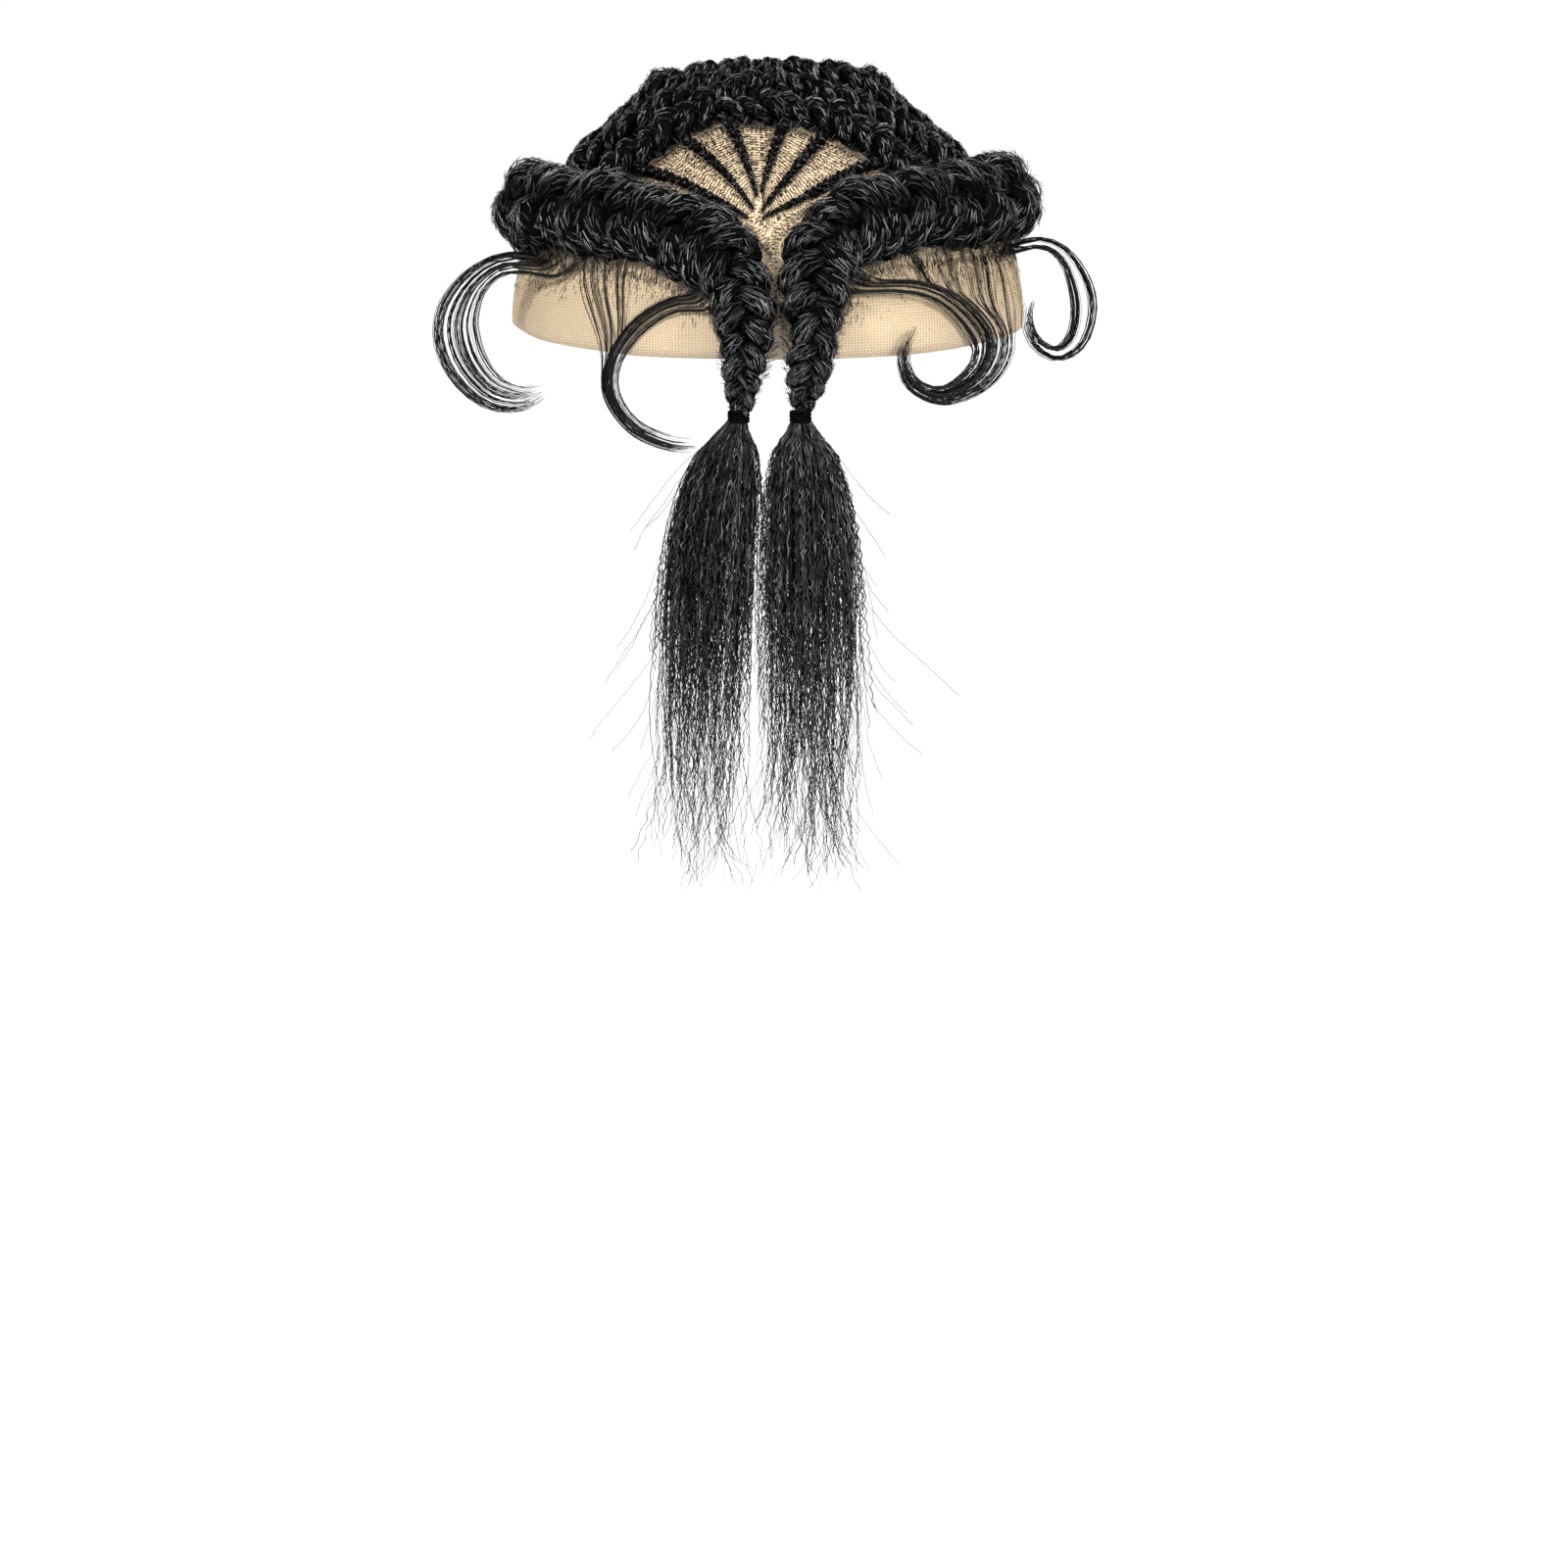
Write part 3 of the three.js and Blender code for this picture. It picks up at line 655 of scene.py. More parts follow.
# %% A whole plait
def plait_mesh(name, route, core_per_lobe, batches):
    """The cores and the fibres of one plait in one mesh, with a material index for each."""
    form = bmesh.new()
    for strand in range(BUNDLES):
        add_core(form, route, strand, core_per_lobe)
    bmesh.ops.recalc_face_normals(form, faces=form.faces)
    for face in form.faces:
        face.smooth = True
    fibres = hair_mesh(name + "_fibres", batches)
    fibres.polygons.foreach_set("material_index", np.ones(len(fibres.polygons), np.int32))
    form.from_mesh(fibres)
    bpy.data.meshes.remove(fibres)
    mesh = bpy.data.meshes.new(name)
    form.to_mesh(mesh)
    form.free()
    return mesh


def dress_plait(node, route, dressing, seed):
    """The piece that takes the place of one plait's solid."""
    rng = np.random.default_rng(seed)
    batches = [
        lobe_fur(route, *dressing["bristles"], rng),
        stray_hairs(route, *dressing["strays"], rng),
        edge_fringe(route, dressing["fringe"], rng),
    ]
    mesh = plait_mesh(node + "_hair", route, dressing["core_cuts"], batches)
    add_piece(mesh.name, mesh, [bundle_core, braid_fibre], [node])


# %% [markdown]
# ## Side braids
# The two thick braids start thin at the temple, take in hair from every cornrow on the way, and are
# widest at the side of the head. At the back they turn down and hang, and the last row of the table
# runs into the tie. The table is the one that shaped the solids, made a little wider for the fur.

# %% Side braid tables
SIDE_BRAID = [
    # bearing, left polar, right polar, width, height, pitch
    (139.0, 61.5, 61.0, 6.0, 4.5, 5.0),
    (122.0, 61.0, 60.0, 13.0, 8.0, 7.0),
    (105.0, 61.7, 59.5, 20.0, 11.5, 8.5),
    (87.0, 62.5, 60.0, 26.0, 14.5, 10.0),
    (68.0, 62.7, 61.0, 28.0, 15.0, 10.5),
    (48.0, 62.5, 61.0, 27.5, 14.5, 10.0),
    (32.0, 63.6, 61.5, 27.0, 13.5, 9.5),
    (19.0, 66.5, 64.0, 26.5, 12.5, 9.0),
    (10.4, 72.0, 70.0, 25.5, 11.5, 8.5),
    (7.5, 80.0, 80.0, 20.0, 10.5, 8.0),
    (6.9, 90.0, 90.0, 16.2, 10.0, 7.5),
    (6.7, 97.5, 97.5, 13.4, 9.0, 7.0),
    (6.5, 103.5, 103.5, 9.0, 6.8, 6.0),
    (6.5, 107.2, 107.2, 5.2, 5.4, 6.0),
]
HANG_DRIFT = [(60.0, 0.0), (78.0, 2.0), (90.0, 2.4), (103.5, 0.8)]
SIDES = {"left": -1.0, "right": 1.0}
BRAID_PUFF = 1.09


def side_braid_route(side):
    column = 1 if side == "left" else 2
    line = [(row[0], row[column]) for row in SIDE_BRAID]

    def seat_of(shares):
        bearing, polar = curve_through(line, shares).T
        drift = np.interp(polar, *zip(*HANG_DRIFT))
        return seat_point(SIDES[side] * bearing + drift, polar)

    return make_route(seat_of, [(row[3] * BRAID_PUFF, *row[4:]) for row in SIDE_BRAID])


side_routes = {side: side_braid_route(side) for side in SIDES}
print("lobes in a side braid:", round(side_routes["left"]["total"], 1))

# %% Side braids
SIDE_DRESSING = {
    "bristles": (225, 2.5, 0.16),  # to a pass, reach, thickness
    "strays": (320, 3.4),  # to a plait, reach
    "fringe": 0.34,  # spacing
    "core_cuts": 5,  # to a lobe
}
SIDE_SEEDS = {"left": 11, "right": 12}

for side, route in side_routes.items():
    dress_plait(f"side_braid_{side}", route, SIDE_DRESSING, SIDE_SEEDS[side])

# %% [markdown]
# ## Cornrows
# Seven rows a side leave the parting like the bones of a fish and run back into the side braid. Rows
# are given in plan, because that is how a braider parts the hair: a start on the parting, a middle
# and an end, with the head lifting them to their height.

# %% Cornrow tables
LEFT_ROWS = [
    # start out, y, middle out, y, end out, y
    (0.3, -23.5, 25.0, -43.8, 50.0, -51.5),
    (0.3, -6.0, 27.0, -27.0, 58.5, -31.0),
    (0.3, 10.0, 28.0, -12.0, 63.0, -17.0),
    (0.3, 26.0, 29.0, 4.0, 63.5, -1.5),
    (0.3, 42.0, 30.0, 21.0, 64.0, 14.5),
    (0.3, 58.0, 30.0, 39.0, 61.0, 31.5),
    (0.3, 75.0, 29.0, 59.5, 51.5, 51.0),
]
RIGHT_ROWS = [
    (-15.5, -45.0, 19.5, -48.0, 47.5, -55.5),
    (0.3, -23.0, 23.0, -33.0, 56.5, -34.5),
    (0.3, -3.5, 25.0, -16.2, 62.0, -19.0),
    (0.3, 14.0, 26.0, 0.0, 63.5, -3.5),
    (0.3, 32.0, 27.0, 17.0, 64.0, 12.5),
    (0.3, 51.0, 28.0, 36.0, 61.0, 30.5),
    (0.3, 71.0, 28.0, 57.5, 51.5, 51.0),
]
FIRST_ROW_SIZES = [
    # width, height, pitch, as in the next two tables
    (10.0, 5.5, 5.5),
    (15.0, 7.2, 7.0),
    (16.4, 7.8, 7.4),
    (16.4, 7.8, 7.4),
    (16.0, 7.8, 7.4),
]
SECOND_ROW_SIZES = [
    (8.0, 5.5, 5.0),
    (13.4, 7.2, 6.3),
    (12.4, 7.2, 6.3),
]
FRONT_ROW_SIZES = [
    # the highest lie over the corners of the crown, and the flat ones near the side braid
    (8.0, 5.0, 5.0),
    (11.0, 5.4, 5.6),
    (12.4, 6.0, 6.3),
    (12.8, 7.2, 6.3),
    (12.8, 9.4, 6.3),
    (12.2, 4.4, 6.3),
    (12.0, 4.0, 6.3),
    (12.0, 4.0, 6.3),
]


def plan_route(points, sizes):
    """A route from points in plan, lifted on to the head."""

    def seat_of(shares):
        return seat_point(*plan_angles(*curve_through(points, shares).T))

    return make_route(seat_of, sizes, samples=400)


row_routes = {}
for side, rows in (("left", LEFT_ROWS), ("right", RIGHT_ROWS)):
    for number, row in enumerate(rows, 1):
        points = np.reshape(row, (3, 2)) * [SIDES[side], 1.0]
        sizes = {1: FIRST_ROW_SIZES, 2: SECOND_ROW_SIZES}.get(number, FRONT_ROW_SIZES)
        row_routes[f"cornrow_{side}_{number}"] = plan_route(points, sizes)
print("rows:", len(row_routes))

# %% Cornrows
ROW_DRESSING = {"bristles": (74, 2.0, 0.17), "strays": (50, 2.2), "fringe": 0.5, "core_cuts": 4}
FIRST_ROW_SEED = 30

for seed, (node, route) in enumerate(row_routes.items(), FIRST_ROW_SEED):
    dress_plait(node, route, ROW_DRESSING, seed)

# %% [markdown]
# ## The fan
# Six fine rows spread from a point at the back. They are the same plait at a third of the size, and
# they thin to almost nothing at the point. Their wide ends tuck in under the first cornrows.

# %% Fan rows
FAN_ROWS = [
    # start x, y, middle x, y, end x, y
    (-6.7, -82.8, -21.5, -72.8, -41.0, -54.5),
    (-4.9, -80.9, -16.2, -66.3, -27.0, -50.5),
    (-3.8, -77.4, -8.2, -63.3, -13.0, -47.0),
    (-2.2, -76.5, 1.2, -64.8, 5.4, -50.0),
    (-1.9, -81.5, 7.6, -70.5, 17.4, -54.5),
    (-1.7, -83.3, 13.5, -75.8, 35.0, -56.5),
]
FAN_SIZES = [(1.0, 1.2, 1.9), (3.1, 2.3, 2.7), (4.8, 3.3, 3.3)]
FAN_DRESSING = {"bristles": (20, 1.1, 0.14), "strays": (20, 1.3), "fringe": 0.45, "core_cuts": 3}
FIRST_FAN_SEED = 50

fan_routes = {}
for number, row in enumerate(FAN_ROWS, 1):
    fan_routes[f"fan_row_{number}"] = plan_route(np.reshape(row, (3, 2)), FAN_SIZES)

for seed, (node, route) in enumerate(fan_routes.items(), FIRST_FAN_SEED):
    dress_plait(node, route, FAN_DRESSING, seed)

# %% [markdown]
# ## Lace base
# The hair is knotted to a fine net that is cut along the hem. A grid operator gives the cloth its
# faces, the UV map keeps their flat places, and then the grid is laid over the head.
# Solidify gives it a thin closed wall. The net itself is drawn by the finish from the UV map, because
# a thread of a tenth of a millimetre is too fine to model.

# %% Lace tables
HEM = [
    # bearing, polar angle
    (0.0, 96.0),
    (30.0, 96.0),
    (60.0, 94.5),
    (90.0, 92.5),
    (120.0, 84.0),
    (150.0, 71.0),
    (180.0, 66.0),
]
LACE_ACROSS = 144
LACE_DOWN = 36
LACE_THICKNESS = 0.35
LACE_POLE = 0.02  # polar angle of the first ring of the cloth, which merges into the crown
MERGE_DISTANCE = 0.08
CLOTH_ROUND = 1.55  # millimetres of cloth to a degree of bearing and to a degree of polar angle
CLOTH_DOWN = 1.5
RIPPLE_HEIGHT = 0.5  # a hem that no hair holds isn't quite smooth
RIPPLE_WAVES = 11.0
RIPPLE_POWER = 6


def hem_polar(bearing):
    return np.interp(np.abs(bearing), *zip(*HEM))


# %% Lace cloth
lace_form = bmesh.new()
bmesh.ops.create_grid(lace_form, x_segments=LACE_ACROSS, y_segments=LACE_DOWN, size=1.0)
flat = np.array([vert.co for vert in lace_form.verts])
bearing = flat[:, 0] * 180.0
share = (1.0 - flat[:, 1]) / 2
polar = np.maximum(share * hem_polar(bearing), LACE_POLE)
cloth_uv = lace_form.loops.layers.uv.new("cloth")
hem_layer = lace_form.verts.layers.float.new("hem")
lace_form.verts.index_update()
for face in lace_form.faces:
    for loop in face.loops:
        spot = loop.vert.index
        loop[cloth_uv].uv = (bearing[spot] * CLOTH_ROUND * MM, polar[spot] * CLOTH_DOWN * MM)
ripple = RIPPLE_HEIGHT * share**RIPPLE_POWER * np.sin(np.radians(bearing) * RIPPLE_WAVES)
draped = head_point(bearing, polar, LACE_WALL)
draped = draped + outward_at(draped) * ripple[:, None]
for vert, place, near_hem in zip(lace_form.verts, draped * MM, share):
    vert.co = place
    vert[hem_layer] = near_hem
bmesh.ops.remove_doubles(lace_form, verts=lace_form.verts, dist=MERGE_DISTANCE * MM)
bmesh.ops.recalc_face_normals(lace_form, faces=lace_form.faces)
for face in lace_form.faces:
    face.smooth = True
lace_area = sum(face.calc_area() for face in lace_form.faces)
lace_mesh = bpy.data.meshes.new("lace_net")
lace_form.to_mesh(lace_mesh)
lace_form.free()
print("lace area in square metres:", round(lace_area, 4))

# %% Lace finish
NET_CELLS = 850.0  # to a metre of cloth
NET_THREAD = (0.1, 0.2)  # from the middle of a thread to its edge, in cells
HEM_FADE = (0.82, 1.0)  # share of the way down the cloth where the holes start to clear
HOLE_COVER = (0.9, 0.6)  # how much a hole covers above that and at the hem


def lace_finish():
    finish, nodes, links, shader = new_finish("lace_net")
    uv = nodes.new("ShaderNodeUVMap")
    uv.uv_map = "cloth"
    net = nodes.new("ShaderNodeTexVoronoi")
    net.feature = "DISTANCE_TO_EDGE"
    net.inputs["Scale"].default_value = NET_CELLS
    net.inputs["Randomness"].default_value = 0.35
    links.new(uv.outputs["UV"], net.inputs["Vector"])
    thread = map_range(nodes, links, net.outputs["Distance"], *NET_THREAD, 1.0, 0.0)
    stops = [(0.0, (0.42, 0.32, 0.205)), (1.0, (0.56, 0.435, 0.285))]
    links.new(colour_ramp(nodes, links, thread, stops), shader.inputs["Base Color"])
    hole = map_range(nodes, links, attribute_of(nodes, "hem"), *HEM_FADE, *HOLE_COVER)
    cover = nodes.new("ShaderNodeMath")
    cover.operation = "MAXIMUM"
    links.new(hole, cover.inputs[0])
    links.new(thread, cover.inputs[1])
    links.new(cover.outputs[0], shader.inputs["Alpha"])
    bump = nodes.new("ShaderNodeBump")
    bump.inputs["Strength"].default_value = 0.35
    bump.inputs["Distance"].default_value = 0.0003
    links.new(thread, bump.inputs["Height"])
    links.new(bump.outputs["Normal"], shader.inputs["Normal"])
    shader.inputs["Roughness"].default_value = 0.75
    shader.inputs["Specular IOR Level"].default_value = 0.2
    return finish


lace_piece = add_piece("lace_net", lace_mesh, [lace_finish()], ["lace_base"])
wall = lace_piece.modifiers.new("wall", "SOLIDIFY")
wall.thickness = LACE_THICKNESS * MM
wall.offset = -1.0

# %% [markdown]
# ## Ties
# Each hanging braid ends in a small dark elastic, wound a few times. One turn is a circle spun into a
# ring, and the winding is a stack of rings, each tipped a little.

# %% Hair ties
TIE_TURNS = 4
TIE_RADIUS = 3.0
TIE_CORD = 0.6
TIE_CORD_SIDES = 8
TIE_STEPS = 28
TIE_TIP = 0.07  # radians
TIE_SPACING = 1.55  # from turn to turn, in radii of the cord
TIE_SEED = 70


def wound_tie(centre, rng):
    form = bmesh.new()
    for turn in range(TIE_TURNS):
        before = len(form.verts)
        cord = bmesh.ops.create_circle(form, segments=TIE_CORD_SIDES, radius=TIE_CORD)["verts"]
        upright = Matrix.Rotation(math.pi / 2, 3, "X")
        bmesh.ops.rotate(form, verts=cord, cent=(0.0, 0.0, 0.0), matrix=upright)
        bmesh.ops.translate(form, verts=cord, vec=(TIE_RADIUS, 0.0, 0.0))
        edges = list(dict.fromkeys(edge for vert in cord for edge in vert.link_edges))
        bmesh.ops.spin(
            form,
            geom=cord + edges,
            cent=(0.0, 0.0, 0.0),
            axis=(0.0, 0.0, 1.0),
            angle=2 * math.pi,
            steps=TIE_STEPS,
            use_merge=True,
        )
        ring = list(form.verts)[before:]
        tip_x = Matrix.Rotation(rng.uniform(-TIE_TIP, TIE_TIP), 3, "X")
        tip_y = Matrix.Rotation(rng.uniform(-TIE_TIP, TIE_TIP), 3, "Y")
        bmesh.ops.rotate(form, verts=ring, cent=(0.0, 0.0, 0.0), matrix=tip_x @ tip_y)
        level = (turn - (TIE_TURNS - 1) / 2) * TIE_CORD * TIE_SPACING
        bmesh.ops.translate(form, verts=ring, vec=(0.0, 0.0, level))
    bmesh.ops.recalc_face_normals(form, faces=form.faces)
    bmesh.ops.scale(form, verts=form.verts, vec=(MM, MM, MM))
    bmesh.ops.translate(form, verts=form.verts, vec=centre)
    for face in form.faces:
        face.smooth = True
    return form


tie_centres = {}
for side in SIDES:
    low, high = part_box(f"hair_tie_{side}")
    tie_centres[side] = (low + high) / 2
    form = wound_tie(tie_centres[side], np.random.default_rng(TIE_SEED))
    mesh = bpy.data.meshes.new(f"hair_tie_{side}_elastic")
    form.to_mesh(mesh)
    form.free()
    add_piece(mesh.name, mesh, [bundle_core], [f"hair_tie_{side}"])

# %% [markdown]
# ## Tails
# Below the ties the hair is loose: crimped strands that spread out of the neck, hang close together
# and thin out to ragged tips. Each strand gets a place in the tail, a length and a zigzag of its own.
# Strands near one of the lock places lean towards it on the way down. The slow wandering of a strand
# is a sum of small random turns, which grow towards the tip, so that the tips cross. A few thick dark
# strands inside keep the upper half from being seen through.

# %% Tail tables
TAIL_LENGTH = 152.0
TAIL_DRIFT = {"left": -11.4, "right": 3.8}
TAIL_SETTLE = 30.0  # drop over which a tail swings out by most of its drift
TAIL_FORM = [
    # drop, width, depth
    (0.0, 4.6, 4.6),
    (5.0, 10.0, 7.0),
    (12.0, 20.5, 10.5),
    (22.0, 26.0, 13.0),
    (34.0, 29.5, 14.5),
    (54.0, 31.0, 15.0),
    (90.0, 30.0, 14.5),
    (TAIL_LENGTH, 26.0, 12.0),
]
TAIL_LOCKS = {
    # places across the tail, from -1 to 1, and how strongly strands lean to them
    "left": [(-0.85, 0.5), (-0.6, 0.4), (-0.15, 0.3), (0.12, 0.5), (0.4, 0.3), (0.66, 0.7), (0.95, 0.2)],
    "right": [(-0.98, 0.2), (-0.68, 0.85), (-0.3, 0.2), (0.0, 0.5), (0.25, 0.2), (0.55, 0.85), (0.85, 0.4)],
}
TAIL_SEEDS = {"left": 84, "right": 85}

# %% Helpers for a tail
CRIMP_SIZE = (0.15, 0.75)
CRIMP_SCATTER = 0.12
CRIMP_STARTS = (0.0, 10.0)  # drop over which the crimp sets in below the tie


def tail_sizes(drop):
    drops, widths, depths = zip(*TAIL_FORM)
    return np.interp(drop, drops, widths), np.interp(drop, drops, depths)


def below_tie(side, drop, x, y):
    """Paths from places beside the middle of a tail, which swings out below its tie."""
    swing = TAIL_DRIFT[side] * (1 - np.exp(-drop / TAIL_SETTLE))
    return np.stack([swing + x, y, -drop], -1) + np.array(tie_centres[side]) / MM


def random_turns(count, points, growth, rng):
    """Sideways drift of strands that keep turning a little, more and more towards their tips."""
    turns = rng.normal(0.0, 1.0, (count, points, 2)) * growth[..., None]
    return np.cumsum(np.cumsum(turns, axis=1), axis=1)


def crimp(count, points, rng):
    flip = np.where(np.arange(points) % 2, 1.0, -1.0)[None] * rng.uniform(*CRIMP_SIZE, (count, points))
    lean = rng.uniform(0.0, 2 * math.pi, (count, 1))
    zigzag = np.stack([flip * np.cos(lean), flip * np.sin(lean)], -1)
    return zigzag + rng.normal(0.0, CRIMP_SCATTER, zigzag.shape)


# %% Tail strands
STRAND_COUNT = 410
STRAND_POINTS = 43
STRAND_SPREAD = 0.44  # 0.5 would spread strands evenly, and less brings them out to the edge
STRAND_LENGTHS = [(0.0, 0.38), (0.3, 0.56), (0.65, 0.77), (1.0, 1.0)]  # share of strands, of the length
LOCK_PULL = 1.1
LOCK_FORMS = (25.0, 100.0)  # drops over which strands lean to their lock, and over which tips wander
WANDER_GROWS = (70.0, 145.0)
WANDER_LEAST = 0.02
WANDER_MORE = 0.44
WANDER_POWER = 1.6
WANDER_DEPTH = 0.5
STRAND_RADIUS = 0.14
STRAND_GIRTH = (0.7, 1.2)
STRAND_THINNING = [(0.0, 1.5), (55.0, 1.4), (80.0, 1.05), (105.0, 0.85), (TAIL_LENGTH, 0.65)]
GLINT_POWER = 1.5
STRAND_TONE_POWER = 0.7


def tail_strands(side, rng):
    count, points = STRAND_COUNT, STRAND_POINTS
    around = rng.uniform(0.0, 2 * math.pi, count)
    out = rng.random(count) ** STRAND_SPREAD
    across, deep = (out * np.cos(around))[:, None], (out * np.sin(around))[:, None]
    locks = np.array(TAIL_LOCKS[side])
    nearest, grip = locks[np.argmin(np.abs(across - locks[None, :, 0]), axis=1)].T
    length = TAIL_LENGTH * np.interp(rng.random(count), *zip(*STRAND_LENGTHS))
    drop = np.linspace(0.0, 1.0, points)[None] * length[:, None]
    width, depth = tail_sizes(drop)
    pull = (grip * rng.uniform(0.0, LOCK_PULL, count))[:, None] * share_between(drop, *LOCK_FORMS)
    growth = WANDER_LEAST + WANDER_MORE * share_between(drop, *WANDER_GROWS) ** WANDER_POWER
    wander = random_turns(count, points, growth, rng)
    kink = crimp(count, points, rng) * share_between(drop, *CRIMP_STARTS)[..., None]
    x = (across + (nearest[:, None] - across) * pull) * width / 2 + wander[..., 0] + kink[..., 0]
    y = deep * depth / 2 + wander[..., 1] * WANDER_DEPTH + kink[..., 1]
    thin = np.interp(drop, *zip(*STRAND_THINNING))
    radii = STRAND_RADIUS * rng.uniform(*STRAND_GIRTH, count)[:, None] * thin
    glints = rng.random((count, points)) ** GLINT_POWER
    tone = rng.random(count)[:, None] ** STRAND_TONE_POWER * glints
    return below_tie(side, drop, x, y), radii, tone


# %% Core strands
CORE_COUNT = 64
CORE_POINTS = 22
CORE_ACROSS = 0.86  # how far the core reaches, as shares of the tail's half width and half depth
CORE_DEEP = 0.5
CORE_LENGTH = (45.0, 88.0)
CORE_RADII = [(0.0, 0.25), (0.15, 0.5), (0.6, 0.4), (1.0, 0.1)]  # share of the length, radius
CORE_TONE = 0.1


def core_strands(side, rng):
    """Thick dark strands inside the tail, so that its upper half can't be seen through."""
    count, points = CORE_COUNT, CORE_POINTS
    share = np.linspace(0.0, 1.0, points)
    across = rng.uniform(-CORE_ACROSS, CORE_ACROSS, count)[:, None]
    deep = rng.uniform(-CORE_DEEP, CORE_DEEP, count)[:, None] * np.sqrt(1 - across**2)
    drop = share[None] * rng.uniform(*CORE_LENGTH, count)[:, None]
    width, depth = tail_sizes(drop)
    kink = crimp(count, points, rng) * share_between(drop, *CRIMP_STARTS)[..., None]
    x = across * width / 2 + kink[..., 0]
    y = deep * depth / 2 + kink[..., 1]
    radii = np.broadcast_to(np.interp(share, *zip(*CORE_RADII)), (count, points))
    return below_tie(side, drop, x, y), radii, rng.random(count) * CORE_TONE


# %% Flyaway strands
FLYAWAY_COUNT = 16
FLYAWAY_LEAVES = (8.0, 110.0)  # drop where a strand leaves the tail, and how much further it drops
FLYAWAY_DROP = (18.0, 45.0)
FLYAWAY_FLING = (0.5, 6.0)  # how far it leans out, and how far it bends out on top of that
FLYAWAY_BEND = (0.0, 7.0)
FLYAWAY_EDGE = 0.49  # its start, as shares of the tail's width and depth
FLYAWAY_DEEP = 0.4
FLYAWAY_TURNS = 0.05
FLYAWAY_WANDER_DEPTH = 0.3
FLYAWAY_CRIMP = 0.4
FLYAWAY_RADIUS = 0.09
FLYAWAY_TONE = 0.4


def flyaway_strands(side, rng):
    """Single strands that have come away from the outer edge of the tail."""
    count, points = FLYAWAY_COUNT, STRAND_POINTS
    share = np.linspace(0.0, 1.0, points)[None]
    leave = rng.uniform(*FLYAWAY_LEAVES, count)[:, None]
    drop = leave + share * rng.uniform(*FLYAWAY_DROP, count)[:, None]
    width, depth = tail_sizes(drop)
    fling = rng.uniform(*FLYAWAY_FLING, count)[:, None] * share
    fling = fling + rng.uniform(*FLYAWAY_BEND, count)[:, None] * share**2
    wander = random_turns(count, points, np.full((count, points), FLYAWAY_TURNS), rng)
    kink = crimp(count, points, rng) * FLYAWAY_CRIMP
    x = SIDES[side] * (width * FLYAWAY_EDGE + fling) + wander[..., 0] + kink[..., 0]
    y = rng.uniform(-FLYAWAY_DEEP, FLYAWAY_DEEP, count)[:, None] * depth
    y = y + wander[..., 1] * FLYAWAY_WANDER_DEPTH + kink[..., 1]
    radii = np.full((count, points), FLYAWAY_RADIUS)
    return below_tie(side, drop, x, y), radii, rng.random(count) * FLYAWAY_TONE


# %% Tails
for side in SIDES:
    rng = np.random.default_rng(TAIL_SEEDS[side])
    batches = [tail_strands(side, rng), flyaway_strands(side, rng), core_strands(side, rng)]
    mesh = hair_mesh(f"tail_{side}_hair", batches)
    add_piece(mesh.name, mesh, [loose_fibre], [f"tail_{side}"])

# %% [markdown]
# ## Curled locks
# Four locks of fine hair are swept out from under the side braids and curled at the hem. Each has a
# line for its middle and rows of roots on the lace. A strand leaves its own root, flows into the
# lock part of the way along and keeps to its own lane there. Strands that start side by side run
# side by side, and most of them gather into a few darker strings.

# %% Curl tables
CURLS = {
    # line of the lock: x, y, z, half width
    "curl_far_left": [
        (-63.5, -60.0, -58.0, 4.0),
        (-83.5, -50.5, -56.5, 3.4),
        (-94.5, -46.5, -62.5, 5.0),
        (-100.5, -46.0, -72.0, 8.0),
        (-101.5, -46.0, -81.0, 9.4),
        (-98.0, -47.0, -90.5, 8.4),
        (-90.5, -48.5, -98.5, 6.4),
        (-81.0, -49.5, -101.0, 4.4),
        (-73.5, -51.0, -98.5, 2.5),
    ],
    "curl_near_left": [
        (-20.0, -95.4, -65.5, 3.4),
        (-30.5, -91.8, -66.5, 3.2),
        (-42.0, -86.2, -74.0, 3.2),
        (-49.5, -81.0, -85.5, 2.8),
        (-50.0, -81.5, -96.5, 2.6),
        (-43.0, -86.5, -106.0, 2.5),
        (-32.0, -92.0, -110.5, 2.5),
        (-23.0, -95.5, -111.0, 2.2),
    ],
    "curl_near_right": [
        (28.0, -92.8, -60.0, 3.4),
        (45.0, -84.0, -60.0, 4.4),
        (57.0, -75.0, -64.0, 5.6),
        (67.0, -66.0, -73.0, 7.0),
        (71.5, -61.0, -82.0, 7.6),
        (67.5, -66.0, -91.5, 5.0),
        (56.0, -77.0, -97.0, 2.8),
        (46.0, -85.0, -92.5, 2.2),
        (43.0, -87.5, -83.5, 1.8),
        (46.5, -86.0, -74.0, 1.4),
    ],
    "curl_far_right": [
        (75.0, -38.0, -55.0, 1.5),
        (88.0, -35.5, -51.5, 1.7),
        (96.5, -34.5, -56.0, 2.9),
        (101.5, -34.0, -66.0, 4.9),
        (102.5, -34.0, -75.0, 5.0),
        (100.0, -34.5, -83.5, 4.0),
        (94.0, -35.0, -87.5, 2.2),
        (87.5, -36.0, -84.0, 1.6),
        (84.5, -36.0, -76.5, 1.2),
        (85.5, -36.0, -70.0, 0.8),
    ],
}
